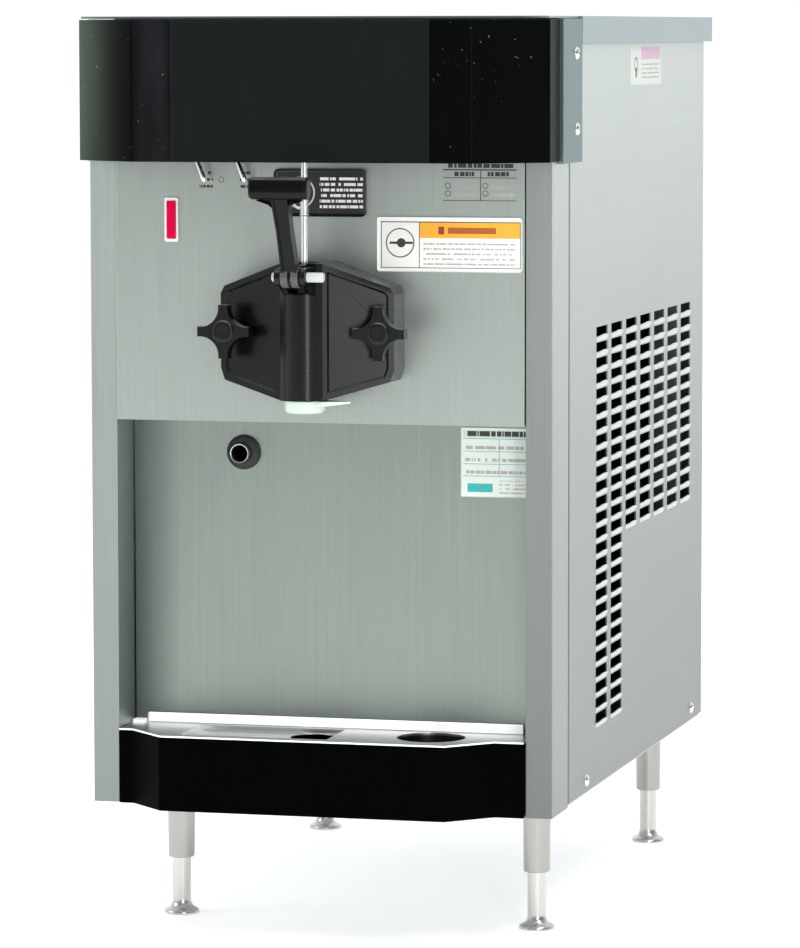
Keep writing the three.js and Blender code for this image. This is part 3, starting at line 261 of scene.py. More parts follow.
def brushed(name, tone, along, rough=0.40, contrast=1.0, shade_towards_counter=0.0, post_shadow=False, front=0.0):
    """Sheet brushed in one direction: fine streaks, faint clouding and a few handling marks. It
    may be painted darker towards the counter as shade, carry a painted shadow strip on a side
    panel beside a post, or have its front face painted darker as shade."""
    finish = Finish(name, Metallic=1.0)
    fine = {"X": (9, 620, 620), "Y": (620, 9, 620), "Z": (620, 620, 9)}[along]
    coarse = {"X": (2.5, 120, 120), "Y": (120, 2.5, 120), "Z": (120, 120, 2.5)}[along]
    streaks = finish.noise(fine, 3.5, 0.65)
    bands = finish.noise(coarse, 2.0)
    clouds = finish.noise(4.0, 2.0)
    marks = (finish.noise(95.0, 4.0, 0.7) - 0.70).ramp(0.0, 0.06)
    shade = streaks * 0.6 + bands * 0.25 + clouds * 0.3 - 0.05 + marks * 0.15
    colour = finish.mix(shade, times(tone, 1 - 0.20 * contrast), times(tone, 1 + 0.16 * contrast))
    # Painted shade: darker towards the counter.
    if shade_towards_counter:
        x, y, z = finish.places()
        colour = finish.mix(z.ramp(0.80, 0.13) * shade_towards_counter, colour, times(tone, 0.25))
    # Painted shadow: a dark strip on a side panel beside each front post.
    if post_shadow:
        post_shadow_strip = (y - FACE).within(0.0660, 0.0715) * (x.size() > 0.2190)
        colour = finish.mix(post_shadow_strip * 0.80, colour, (0.03, 0.034, 0.034))
    # Painted shade: the front face darker than the sides.
    if front:
        colour = finish.mix((y < FACE + 0.0012) * front, colour, times(tone, 0.25))
    finish.give(Base_Color=colour)
    finish.give(Roughness=rough - 0.06 + streaks * 0.12 + marks * 0.05)
    finish.bump(streaks * 0.8 + bands * 0.2, 0.10, 0.0002)
    return finish.material


def only(piece):
    if bpy.context.mode != "OBJECT":
        bpy.ops.object.mode_set(mode="OBJECT")
    bpy.ops.object.select_all(action="DESELECT")
    piece.select_set(True)
    bpy.context.view_layer.objects.active = piece


@contextmanager
def editing(piece):
    """Edit mode with all of the piece selected, and object mode again afterwards."""
    only(piece)
    bpy.ops.object.mode_set(mode="EDIT")
    bpy.ops.mesh.select_all(action="SELECT")
    yield
    bpy.ops.object.mode_set(mode="OBJECT")


def modified(piece, kind, **settings):
    only(piece)
    modifier = piece.modifiers.new(kind.lower(), kind)
    for name, value in settings.items():
        setattr(modifier, name, value)
    bpy.ops.object.modifier_apply(modifier=modifier.name)
    return piece


def smoothed(piece, angle=34):
    only(piece)
    bpy.ops.object.shade_smooth_by_angle(angle=math.radians(angle))
    return modified(piece, "WEIGHTED_NORMAL", keep_sharp=True)


def eased(piece, radius, segments=2, angle=32):
    """Rounds every edge sharper than an angle, by a radius in millimetres."""
    modified(piece, "BEVEL", width=radius / 1000, segments=segments, limit_method="ANGLE",
             angle_limit=math.radians(angle), miter_outer="MITER_ARC")
    return smoothed(piece)


def copy_of(node, name):
    """A merged copy of a frame node, its flat faces joined into whole ones."""
    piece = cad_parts[node].copy()
    piece.data = piece.data.copy()
    piece.name = name
    piece.parent = None
    piece.matrix_world = Matrix.Identity(4)
    bpy.context.collection.objects.link(piece)
    only(piece)
    bpy.ops.mesh.customdata_custom_splitnormals_clear()
    with editing(piece):
        bpy.ops.mesh.remove_doubles(threshold=0.00001)
        bpy.ops.mesh.dissolve_limited(angle_limit=math.radians(1.0))
    return piece


def fitted(piece, finish, slot, body, *nodes):
    piece.data.materials.clear()
    piece.data.materials.append(finish)
    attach(piece, body)
    if nodes:
        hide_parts(*nodes)
    return piece


def made(node, name, finish, slot, body="root", radius=0.6, segments=2, angle=32):
    """A frame node's copy with its edges eased, fitted in that node's place."""
    return fitted(eased(copy_of(node, name), radius, segments, angle), finish, slot, body, node)


def recoated(node, finish):
    """Gives a frame node that keeps its shape its finish."""
    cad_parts[node].data.materials.clear()
    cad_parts[node].data.materials.append(finish)


# Painted shade: both posts are darker towards the counter, and the right post's front face is darker
# than its side.
post_finishes = {
    "left": brushed("post_steel_left", (0.54, 0.595, 0.57), "Z", 0.38, shade_towards_counter=0.66),
    "right": brushed("post_steel_right", (0.60, 0.655, 0.63), "Z", 0.38, shade_towards_counter=0.85, front=0.42),
}
recoated("base_pan", brushed("pan_steel", (0.50, 0.53, 0.54), "Y", 0.5))
for side, finish in post_finishes.items():
    made(f"post_{side}", f"corner_post_{side}", finish, "stainless", radius=0.7)


# ------------------------------------------------------------ side and rear panels
# Flat stainless sheets screwed to the posts and pan. The right one and the rear one are pressed
# with louvres: each slot has a curved lip below it, pushed out of the same sheet.
LIP_WIDTH = 50
LIP_GAUGE = 0.8
LIP_HEIGHT = 6.6
LIP_DROP = 2.9  # a lip's upper edge, below the middle of its slot
LIP_ARCH = 2.0
LIP_PROUD = 3.1
SLOT_ROWS = (26, 26, 14, 14, 14, 14, 14)
SLOT_FIRST = 211
SLOT_TOP = 562
ROW_PITCH = 14.73
COLUMN_PITCH = 67.2
SIDE_FACE = 220
REAR_FACE = 704.9
REAR_COLUMNS = (-70, 0, 70)
REAR_ROWS = 8
REAR_FIRST = 300
REAR_PITCH = 26


def curved_lip(name):
    """One louvre lip, face towards +X, its upper edge along the middle of the origin."""
    bpy.ops.object.select_all(action="DESELECT")
    bpy.ops.mesh.primitive_grid_add(x_subdivisions=8, y_subdivisions=4, size=1)
    lip = bpy.context.active_object
    lip.name = name
    for corner in lip.data.vertices:
        across, down = corner.co.x * 2, 0.5 - corner.co.y
        swell = math.cos(down * math.pi / 2) ** 0.8 * (1 - abs(across) ** 6)
        drop = down * LIP_HEIGHT + (1 - down) * LIP_ARCH * across ** 2
        corner.co = Vector((LIP_PROUD * swell + 0.05, across * LIP_WIDTH / 2, -drop)) / 1000
    with editing(lip):
        bpy.ops.mesh.normals_make_consistent(inside=False)
    if sum(face.normal.x for face in lip.data.polygons) < 0:
        lip.data.flip_normals()
    modified(lip, "SOLIDIFY", thickness=LIP_GAUGE / 1000, offset=-1)
    return lip


def moved_copy(piece, name, matrix):
    twin = piece.copy()
    twin.data = piece.data.copy()
    twin.name = name
    bpy.context.collection.objects.link(twin)
    twin.data.transform(matrix)
    if matrix.determinant() < 0:
        twin.data.flip_normals()
    return twin


def joined(pieces, name):
    only(pieces[0])
    for piece in pieces:
        piece.select_set(True)
    bpy.ops.object.join()
    whole = bpy.context.active_object
    whole.name = name
    return whole


def dropped(piece):
    bpy.data.objects.remove(piece, do_unlink=True)


pattern_lip = curved_lip("pattern_lip")
side_lips = []
for column, rows in enumerate(SLOT_ROWS):
    for row in range(rows):
        spot = at(SIDE_FACE - 0.4, SLOT_FIRST + column * COLUMN_PITCH,
                  SLOT_TOP - row * ROW_PITCH - LIP_DROP)
        side_lips.append(moved_copy(pattern_lip, "lip", Matrix.Translation(spot)))
# Painted shade: the side and rear sheets are darker towards the counter, with a painted shadow strip
# on each side panel beside its front post.
side_steel = brushed("side_steel", (0.60, 0.65, 0.635), "Y", 0.40, 0.7, shade_towards_counter=0.88, post_shadow=True)
louvres = smoothed(joined(side_lips, "side_louvre_lips"), 60)
# Painted highlight: the lips get a lighter copy of the sheet's steel, also painted darker towards the
# counter as shade.
lit_lip_steel = brushed("lit_lip_steel", (0.66, 0.72, 0.68), "Y", 0.42, 0.6, shade_towards_counter=0.25)
fitted(louvres, lit_lip_steel, "stainless", "root")

rear_lips = []
quarter = Matrix.Rotation(math.radians(90), 4, "Z")
for x in REAR_COLUMNS:
    for row in range(REAR_ROWS):
        spot = at(x, REAR_FACE, REAR_FIRST + row * REAR_PITCH - LIP_DROP)
        rear_lips.append(moved_copy(pattern_lip, "lip", Matrix.Translation(spot) @ quarter))
dropped(pattern_lip)
fitted(smoothed(joined(rear_lips, "rear_louvre_lips"), 60), side_steel, "stainless", "root")
for node in ("side_panel_left", "side_panel_right", "rear_panel"):
    recoated(node, side_steel)


# ------------------------------------------------------------ screws
# Bright truss-head machine screws with cross recesses hold the cheeks, the side panels and the
# rear panel. One is modelled and copied to every hole.
SCREW_HEAD = 5.8
SCREW_RISE = 3.0
CHEEK_FACE = 226.4


def drawn(name, points, edges, faces):
    mesh = bpy.data.meshes.new(name)
    mesh.from_pydata(points, edges, faces)
    piece = bpy.data.objects.new(name, mesh)
    bpy.context.collection.objects.link(piece)
    return piece


def turned(name, profile, axis, centre, steps=48):
    """A profile of (radius, place along the axis) in millimetres, spun round that axis."""
    along = {"X": Vector((1, 0, 0)), "Y": Vector((0, 1, 0)), "Z": Vector((0, 0, 1))}[axis]
    outward = Vector((1, 0, 0)) if axis == "Z" else Vector((0, 0, 1))
    points = [centre + outward * (r / 1000) + along * (h / 1000) for r, h in profile]
    piece = drawn(name, points, [(i, i + 1) for i in range(len(points) - 1)], [])
    with editing(piece):
        bpy.ops.mesh.spin(steps=steps, angle=2 * math.pi, center=centre, axis=along)
        bpy.ops.mesh.select_all(action="SELECT")
        bpy.ops.mesh.remove_doubles(threshold=0.000002)
        bpy.ops.mesh.normals_make_consistent(inside=False)
    return piece


def bar(name, low, high):
    """A block between two corners."""
    bpy.ops.object.select_all(action="DESELECT")
    bpy.ops.mesh.primitive_cube_add(size=1, location=(low + high) / 2)
    piece = bpy.context.active_object
    piece.name = name
    piece.scale = high - low
    bpy.ops.object.transform_apply(location=True, rotation=True, scale=True)
    return piece


def carved(piece, *tools):
    for tool in tools:
        modified(piece, "BOOLEAN", operation="DIFFERENCE", object=tool, solver="EXACT")
        dropped(tool)
    return piece


def mottled(name, dark, light, cloud, grain, rough, bump, by_grain=False, **fixed):
    """A finish clouded between two tones. Its roughness starts at one value and rises by
    another with the clouds or the grain. The grain, or the clouds without one, lift its skin."""
    finish = Finish(name, **fixed)
    clouds = finish.noise(*cloud)
    skin = finish.noise(*grain) if grain else clouds
    finish.give(Base_Color=finish.mix(clouds, dark, light),
                Roughness=rough[0] + (skin if by_grain else clouds) * rough[1])
    finish.bump(skin, *bump)
    return finish.material


def plated(name, tone, rough=0.12):
    """Bright plating with faint hazing and rub marks."""
    return mottled(name, times(tone, 0.9), tone, (60.0, 4.0), ((900, 60, 900), 2.0), (rough, 0.10),
                   (0.05, 0.0001), Metallic=1.0)


bright_plate = plated("bright_plate", (0.86, 0.87, 0.86))
dome = [(0, SCREW_RISE), (1.8, SCREW_RISE - 0.12), (3.6, SCREW_RISE - 0.7), (5.0, SCREW_RISE - 1.7),
        (SCREW_HEAD, 0.35), (SCREW_HEAD, 0), (0, 0)]
pattern_screw = turned("pattern_screw", dome, "X", Vector((0, 0, 0)), 32)
blades = [bar("blade", Vector((1.5, -3.0, -0.55)) / 1000, Vector((4, 3.0, 0.55)) / 1000),
          bar("blade", Vector((1.5, -0.55, -3.0)) / 1000, Vector((4, 0.55, 3.0)) / 1000)]
smoothed(carved(pattern_screw, *blades), 50)
screw_rows = {"cheek": (CHEEK_FACE, ("top", 70.5, 825), ("low", 72.6, 755.6)),
              "side": (SIDE_FACE, ("front", 146.6, 140.7), ("rear", 651.6, 141.7))}
screws = []
for row, (face, *ends) in screw_rows.items():
    for side, way, turn in (("right", 1, 0), ("left", -1, 180)):
        screws += [(f"{row}_{side}_{end}", (way * face, y, z), turn) for end, y, z in ends]
for end, x, z in (("top", 190, 800), ("low", 205, 145)):
    for side, way in (("left", -1), ("right", 1)):
        screws.append((f"rear_{end}_{side}", (way * x, REAR_FACE + 0.4, z), 90))
for number, (name, spot, turn) in enumerate(screws):
    driven = math.radians(17 + 31 * number)
    pose = (Matrix.Translation(at(*spot)) @ Matrix.Rotation(math.radians(turn), 4, "Z")
            @ Matrix.Rotation(driven, 4, "X"))
    fitted(moved_copy(pattern_screw, f"screw_{name}", pose), bright_plate, "chrome", "root")
dropped(pattern_screw)


# ------------------------------------------------------------ deck, cheeks and rear gland
# Blue-grey satin sheet: the deck is folded down on three sides and the two cheeks carry the
# header's ends. The gland in the rear panel is a rubber bush for the mains lead.
satin = brushed("cover_satin", (0.37, 0.445, 0.47), "Y", 0.34, 0.8)
# Painted shade: the cheeks get a darker copy of the deck's blue-grey satin.
shaded_cheek_satin = brushed("shaded_cheek_satin", (0.165, 0.235, 0.25), "Z", 0.36, 0.7)
made("top_cover", "deck_cover", satin, "cover_steel", radius=0.8)
for side in ("left", "right"):
    cheek = copy_of(f"header_cheek_{side}", f"cheek_{side}")
    for corner in cheek.data.vertices:
        if abs(corner.co.x) > 0.2215:
            corner.co.x = math.copysign(CHEEK_FACE / 1000, corner.co.x)
    fitted(eased(cheek, 0.5), shaded_cheek_satin, "cover_steel", "root", f"header_cheek_{side}")


def rubbery(name, tone, rough=0.62):
    """Moulded rubber with a fine skin, dusty in patches."""
    return mottled(name, tone, times(tone, 1.9), (30.0, 4.0), (900.0, 2.0), (rough, 0.15),
                   (0.15, 0.0002), Metallic=0.0)


black_rubber = rubbery("black_rubber", (0.016, 0.017, 0.018))
made("cord_inlet", "lead_gland", black_rubber, "rubber", angle=25)


# ------------------------------------------------------------ header and its sign plate
# A vacuum-formed black fascia with slanted ends, glossy and a little dusty, with a painted sheen
# towards its left end in place of reflected light. A thin black plate is glued to its flat front.
fascia_finish = Finish("fascia_black", Metallic=0.0, Specular_IOR_Level=0.025)
haze = fascia_finish.noise(9.0, 3.0)
grain = fascia_finish.noise(700.0, 2.0)
patches = fascia_finish.noise(14.0, 2.0).ramp(0.40, 0.68)
dust = (fascia_finish.noise(260.0, 1.0, 0.4) > 0.765) * patches
leftward = fascia_finish.places()[0] * -1
# Painted sheen: lighter green-grey towards the left end and a faint purple-grey band at the left
# fold, in place of reflected light.
sheen_cloud = fascia_finish.noise((18, 18, 5), 3.0).ramp(0.25, 0.75)
end_sheen = leftward.ramp(0.158, 0.224) ** 2.2 * (sheen_cloud * 0.5 + 0.5)
fold_sheen = leftward.ramp(0.160, 0.118) * leftward.ramp(0.118, 0.160) * 4
fascia_tone = (0.0014, 0.0017, 0.0016)
colour = fascia_finish.mix(haze, fascia_tone, times(fascia_tone, 1.7))
colour = fascia_finish.mix(end_sheen, colour, (0.105, 0.135, 0.110))
colour = fascia_finish.mix(fold_sheen * sheen_cloud * 0.5, colour, (0.050, 0.048, 0.060))
colour = fascia_finish.mix(dust * 0.5, colour, (0.34, 0.36, 0.33))
fascia_finish.give(Base_Color=colour, Roughness=0.26 + haze * 0.08)
fascia_finish.bump(grain, 0.10, 0.0002)
made("header_fascia", "fascia", fascia_finish.material, "header_black", radius=1.0, segments=3)


def picked(piece, choose):
    """Selects the faces that a rule picks, and leaves the piece in edit mode."""
    only(piece)
    bpy.ops.object.mode_set(mode="EDIT")
    bpy.ops.mesh.select_mode(type="FACE")
    bpy.ops.mesh.select_all(action="DESELECT")
    bpy.ops.object.mode_set(mode="OBJECT")
    for face in piece.data.polygons:
        face.select = choose(face)
    bpy.ops.object.mode_set(mode="EDIT")


def panelled(piece, choose, border, step, depth):
    """Sinks the picked face inside a flat border, by a depth over a narrow step."""
    picked(piece, choose)
    bpy.ops.mesh.inset(thickness=border / 1000, depth=0)
    bpy.ops.mesh.inset(thickness=step / 1000, depth=-depth / 1000)
    bpy.ops.object.mode_set(mode="OBJECT")
    return piece


SIGN_HALF = 121.5
sign = bar("sign_face", at(-SIGN_HALF, -65.8, 727.5), at(SIGN_HALF, -64.3, 855.5))
eased(panelled(sign, lambda face: face.normal.y < -0.9, 1.6, 0.4, 0.3), 0.25)
sign_black = mottled("sign_face_black", (0.0030, 0.0052, 0.0054), (0.0052, 0.0080, 0.0084),
                     ((30, 1, 8), 2.0), (800.0, 2.0), (0.34, 0.12), (0.06, 0.0002), by_grain=True,
                     Metallic=0.0, Specular_IOR_Level=0.10)
fitted(sign, sign_black, "sign_black", "root", "sign_plate")


# ------------------------------------------------------------ front panel, recess and labels
# The upper panel is brushed sheet on two hooks; below it the recess is lined with one folded
# sheet. Printed vinyl labels and etched legends are shown blank, as plain bars and outlines.
recess_finish = Finish("recess_steel", Metallic=1.0)
fine_lines = recess_finish.noise((640, 640, 8), 3.5, 0.65)
broad_lines = recess_finish.noise((90, 90, 2), 2.0)
cloud = recess_finish.noise(5.0, 2.0)
x, y, z = recess_finish.places()
low_stain = z.ramp(0.212, 0.197) * recess_finish.noise((14, 14, 60), 3.0).ramp(0.30, 0.62)
left_shade = x.ramp(-0.150, -0.196)
sheen = recess_finish.mix(fine_lines * 0.6 + broad_lines * 0.2 + cloud * 0.2,
                          (0.235, 0.275, 0.25), (0.365, 0.415, 0.385))
sheen = recess_finish.mix(left_shade * 0.92, sheen, (0.085, 0.105, 0.10))
sheen = recess_finish.mix(low_stain * 0.42, sheen, (0.10, 0.11, 0.105))
recess_finish.give(Base_Color=sheen, Roughness=0.34 + fine_lines * 0.12)
recess_finish.bump(fine_lines, 0.10, 0.0002)
made("recess_panel", "recess_lining", recess_finish.material, "stainless")
PANEL_FACE = -3
RECESS_FACE = 50.6
LABEL_GAUGE = 0.2


def label(name, left, right, low, high, face, corner, finish, slot):
    """A thin label on a front face. Its bevel runs round every edge, which gives it round corners
    and, because it is wider than the label is thick, a rolled border that stands proud."""
    piece = bar(name, at(left, face - LABEL_GAUGE, low), at(right, face, high))
    with editing(piece):
        bpy.ops.mesh.bevel(offset=corner / 1000, segments=5, affect="EDGES")
    return fitted(piece, finish, slot, "root")


class Print(Finish):
    """A printed face, painted by areas given in millimetres on one plane of the machine."""

    def __init__(self, name, base, across="x", steel=False):
        super().__init__(name, Metallic=0.0, Roughness=0.42)
        x, y, z = self.places()
        self.u = x * 1000 if across == "x" else (y - FACE) * 1000
        self.v = z * 1000
        self.steel = steel
        self.covered = self.u.within(0, 0)
        self.tint = self.noise((620, 620, 9), 3.5, 0.65) if steel else self.noise(40.0, 3.0)
        clouds = self.noise(4.0, 2.0)
        spread = (0.84, 1.13) if steel else (0.94, 1.0)
        self.colour = self.mix(self.tint * 0.75 + clouds * 0.25, times(base, spread[0]),
                               times(base, spread[1]))

    def paint(self, area, colour):
        self.colour = self.mix(area, self.colour, colour)
        self.covered = self.covered.greater(area)

    def block(self, left, right, low, high, colour):
        self.paint(self.u.within(left, right) * self.v.within(low, high), colour)

    def circle(self, u, v, radius, colour, width=None):
        reach = ((self.u - u) ** 2 + (self.v - v) ** 2) ** 0.5
        inner = radius - width if width else -1
        self.paint(reach.within(inner, radius), colour)

    def rows(self, left, right, low, high, pitch, weight, colour, seed=3):
        """Broken bars that stand in for lines of print."""
        line = (self.v - low) / pitch
        letters = self.node("CombineXYZ", {0: self.u * 0.55, 1: line.floor() * 7.3 + seed})
        cells = self.node("TexNoise", {"Vector": letters, "Scale": 1.0, "Detail": 0.0})
        area = self.u.within(left, right) * self.v.within(low, high) * (line.fraction() < weight)
        self.paint(area * (cells > 0.40), colour)

    def done(self):
        self.give(Base_Color=self.colour)
        if self.steel:
            self.give(Metallic=1 - self.covered, Roughness=0.35 + self.tint * 0.12)
            self.bump(self.tint, 0.10, 0.0002)
        else:
            self.bump(self.noise(500.0, 2.0), 0.05, 0.0001)
        return self.material


def slab(name, outline, depth):
    """A flat outline of points, drawn out along depth into a closed block."""
    piece = drawn(name, outline, [], [list(range(len(outline)))])
    with editing(piece):
        bpy.ops.mesh.extrude_region_move(TRANSFORM_OT_translate={"value": Vector(depth)})
        bpy.ops.mesh.select_all(action="SELECT")
        bpy.ops.mesh.normals_make_consistent(inside=False)
    return piece


INK = (0.03, 0.03, 0.03)
SOFT_INK = (0.42, 0.42, 0.40)
PAPER = (0.90, 0.91, 0.88)
warning = Print("caution_print", PAPER)
warning.block(96.5, 190.2, 657.5, 671.6, (0.93, 0.42, 0.035))
for low, high, left, right in ((671.6, 672.5, 60, 190.6), (630, 630.7, 60, 190.6),
                               (630, 672.5, 60, 60.7), (630, 672.5, 190.2, 190.9),
                               (630, 672.5, 95.8, 96.5)):
    warning.block(left, right, low, high, INK)
warning.circle(78, 653, 13.5, INK, 1.1)
warning.circle(79, 653, 4.2, INK)
warning.block(68, 90, 651.9, 654.1, INK)
warning.rows(100, 186, 633, 655, 4.6, 0.36, SOFT_INK)
warning.block(114, 119.5, 661, 668, (0.28, 0.05, 0.01))
warning.block(123, 168, 661.6, 667.2, (0.42, 0.10, 0.015))
label("label_caution", 56.8, 192.4, 626.9, 676.5, PANEL_FACE, 2.5, warning.done(), "white_plastic")

notice = Print("notice_print", (0.012, 0.013, 0.013))
notice.rows(2, 43, 684, 713, 5.1, 0.52, PAPER)
notice.circle(-17, 698, 14.5, (0.62, 0.64, 0.62), 1.5)
notice.circle(-17, 689, 6.4, PAPER)
notice.circle(-17, 690.4, 5.2, (0.02, 0.02, 0.02))
label("label_notice", -40.7, 46.4, 676.3, 719.7, PANEL_FACE, 4, notice.done(), "sign_black")

panel_print = Print("front_steel", (0.44, 0.485, 0.455), steel=True)
for low, high, left, right in ((719.2, 720.4, 118.4, 187), (712.2, 712.9, 118.4, 187),
                               (691.6, 692.2, 118.4, 187), (691.6, 720, 153.2, 154)):
    panel_print.block(left, right, low, high, INK)
for legend in ((123, 184, 721.6, 725.6, 9, 0.42, INK, 9), (129, 148, 714, 718, 9, 0.5, INK, 4),
               (160, 180, 714, 718, 9, 0.5, INK, 5), (128, 150, 695.5, 709, 6.6, 0.5, SOFT_INK, 1),
               (162, 185, 695.5, 709, 6.6, 0.5, SOFT_INK, 2)):
    panel_print.rows(*legend)
for u, v in ((123, 705.3), (123, 698.3), (158, 705.3), (158, 698.3)):
    panel_print.circle(u, v, 2.8, INK, 0.6)
panel_print.rows(-113, -100, 702, 719, 6.2, 0.42, INK, 6)
panel_print.rows(-74, -64, 702, 719, 6.2, 0.42, INK, 8)
panel_print.circle(-92, 709.5, 2.7, INK, 0.55)
front_steel = panel_print.done()
made("front_panel", "upper_front_panel", front_steel, "stainless", radius=0.5)
returns = [slab("return", [at(x, -2.9, 486.8), at(x + 1.3, -2.9, 486.8), at(x + 1.3, 0.6, 486.8),
                           at(x, 0.6, 486.8)], (0, 0, 0.3648)) for x in (-194.3, 193.0)]
fitted(eased(joined(returns, "front_panel_returns"), 0.4), front_steel, "stainless", "root")
rating = Print("rating_print", (0.80, 0.87, 0.82))
TEAL = (0.05, 0.33, 0.36)
rating.block(124, 193, 471.2, 478.6, (0.62, 0.70, 0.66))
rating.rows(128, 192, 472.8, 477.6, 9, 0.55, INK, 3)
rating.block(124, 193, 470.2, 470.7, TEAL)
for low in (458.5, 446.8, 435.6):
    rating.block(124, 193, low, low + 0.5, TEAL)
rating.block(158, 158.5, 435.6, 470, TEAL)
rating.rows(126, 190, 438, 469, 11.4, 0.26, SOFT_INK, 12)
rating.block(128, 152, 421, 429, (0.03, 0.45, 0.44))
rating.rows(158, 190, 420, 432, 3.8, 0.3, SOFT_INK, 15)
label("label_rating", 122, 193.4, 416.3, 480.5, RECESS_FACE, 1, rating.done(), "white_plastic")

tag = Print("tag_print", (0.66, 0.71, 0.66), across="y")
tag.block(388, 478, 817.5, 829.5, (0.60, 0.40, 0.54))
tag.rows(392, 474, 799, 815, 4.2, 0.34, (0.30, 0.33, 0.31), 2)
tag.circle(364, 812, 8, (0.10, 0.13, 0.12), 2.4)
tag.block(360, 368, 800, 809, (0.10, 0.13, 0.12))
side_tag = bar("label_side", at(SIDE_FACE, 339, 792.8), at(SIDE_FACE + LABEL_GAUGE, 484, 831.6))
fitted(side_tag, tag.done(), "white_plastic", "root")


# ------------------------------------------------------------ dispensing head
# Injection-moulded black block bolted over the barrel's mouth. Its two wings slant back from a
# boxy column, each with a sunk face inside a raised rim; a half-round boss holds the valve.
HEAD_FRONT = -60
WING_FRONT = -40
HEAD_BACK = -3.3
HEAD_LOW = 511
WING_REACH = 82
BARREL_Z = 573
VALVE_Y = -48
PIVOT_Y = -92
PIVOT_Z = 625
STUD_X = 73.0
STUD_HOLE = 4.3
PIN_HOLE = 3.3


def united(piece, *others):
    for other in others:
        modified(piece, "BOOLEAN", operation="UNION", object=other, solver="EXACT")
        dropped(other)
    return piece


def plug(name, radius, low, high, axis, centre, steps=24):
    """A plain cylinder between two places along its axis."""
    return turned(name, [(0, low), (radius, low), (radius, high), (0, high)], axis, centre, steps)


def moulded(name, tone, rough=0.30, wear_and_highlight=0.0, shine=0.24):
    """Glass-filled moulding: a fine spark texture, soft flow marks and polished high spots. Its
    upward faces may be painted lighter in patches, as dust and a painted highlight.
    """
    finish = Finish(name, Metallic=0.0, Specular_IOR_Level=shine)
    spark = finish.noise(850.0, 2.0)
    flow = finish.noise((22, 22, 9), 3.0)
    rubbed = finish.noise(55.0, 4.0).ramp(0.55, 0.75)
    colour = finish.mix(flow * 0.7 + rubbed * wear_and_highlight, tone, times(tone, 2.4))
    if wear_and_highlight:
        # Dust and painted highlight: upward-facing surfaces are lighter in patches.
        rise = finish.split(finish.node("TexCoord", out=1))[2]
        dust_and_top_highlight = rise.ramp(0.55, 1.0) * (finish.noise(35.0, 4.0).ramp(0.3, 0.6) * 0.6 + 0.4)
        colour = finish.mix(dust_and_top_highlight * wear_and_highlight * 0.7, colour, (0.42, 0.44, 0.42))
    finish.give(Base_Color=colour, Roughness=rough + flow * 0.10 + spark * 0.08)
    finish.bump(spark * 0.7 + flow * 0.3, 0.06, 0.00015)
    return finish.material


head_black = moulded("head_black", (0.0007, 0.0010, 0.0014), 0.19, 0.32, 0.30)


def wing(side):
    outline = [(19, 636), (78, 614), (WING_REACH, 607), (WING_REACH, 539), (78, 528), (19, HEAD_LOW)]
    slope = (WING_FRONT - HEAD_FRONT) / (WING_REACH - 20)
    points = [at(side * x, HEAD_FRONT + (x - 20) * slope, z) for x, z in outline]
    piece = slab("wing", points, (0, (HEAD_BACK - WING_FRONT) / 1000, 0))
    for corner in piece.data.vertices:
        if corner.co.y > at(0, WING_FRONT + 0.01, 0).y:
            corner.co.y = at(0, HEAD_BACK, 0).y
    return panelled(piece, lambda face: face.normal.y < -0.8, 5.2, 1.8, 2.4)


def boss(name, radius, low, high, crown, y, steps=56):
    profile = [(0, low), (radius - 0.8, low), (radius, low + 0.8), (radius, high - crown)]
    for i in range(1, 7):
        turn = i / 6 * math.pi / 2
        profile.append((radius - crown * (1 - math.cos(turn)), high - crown + crown * math.sin(turn)))
    return turned(name, profile + [(0, high)], "Z", at(0, y, 0), steps)


def ear(side):
    rounding = [(PIVOT_Y + 8 * math.cos(a), PIVOT_Z + 8 * math.sin(a))
                for a in [math.radians(-35 - 235 * i / 12) for i in range(13)]]
    outline = [(VALVE_Y - 10, PIVOT_Z + 8), (VALVE_Y - 10, 602), (VALVE_Y - 18, 607), *rounding]
    inner = side * 9.3
    return slab("ear", [at(inner, y, z) for y, z in outline], (side * 0.005, 0, 0))


core_outline = [(-20, HEAD_BACK), (-20, HEAD_FRONT), (-15, HEAD_FRONT - 4), (15, HEAD_FRONT - 4),
                (20, HEAD_FRONT), (20, HEAD_BACK)]
core = slab("head_block", [at(x, y, HEAD_LOW) for x, y in core_outline], (0, 0, 0.125))
head = united(core, wing(-1), wing(1), boss("valve_boss", 21.4, HEAD_LOW, 616, 9, VALVE_Y),
              ear(-1), ear(1))
bore = plug("bore", 14, 500, 640, "Z", at(0, VALVE_Y, 0), 40)
mouth = bar("mouth", at(-6, -110, 608), at(6, VALVE_Y, 640))
shelf = bar("shelf", at(-9.2, -110, 606), at(9.2, -72, 642))
seat = plug("seat", 57, -9.6, 0, "Y", at(0, 0, BARREL_Z), 56)
inlet = plug("inlet", 12, VALVE_Y, -8, "Y", at(0, 0, BARREL_Z - 32), 32)
stud_places = [at(side * STUD_X, 0, BARREL_Z) for side in (-1, 1)]
holes = [plug("hole", STUD_HOLE, -62, 0, "Y", place) for place in stud_places]
pads = [plug("pad", 13, HEAD_FRONT, -44.5, "Y", place, 40) for place in stud_places]
cross = plug("cross", PIN_HOLE, -30, 30, "X", at(0, PIVOT_Y, PIVOT_Z))
carved(head, bore, mouth, shelf, seat, inlet, cross, *holes, *pads)
eased(head, 1.3, 3, 28)
fitted(head, head_black, "moulded_black", "root", "dispensing_head")
recoated("head_gasket", black_rubber)


# ------------------------------------------------------------ studs and hand knobs
# Stainless studs stand out of the barrel's flange through the head. Each carries a black
# four-armed hand knob, its arms hollowed between square tips, with a shallow dish in the middle.
stud_steel = plated("stud_steel", (0.62, 0.63, 0.62), 0.28)
knob_black = moulded("knob_black", (0.0014, 0.0017, 0.0019), 0.24, 0.7, 0.30)


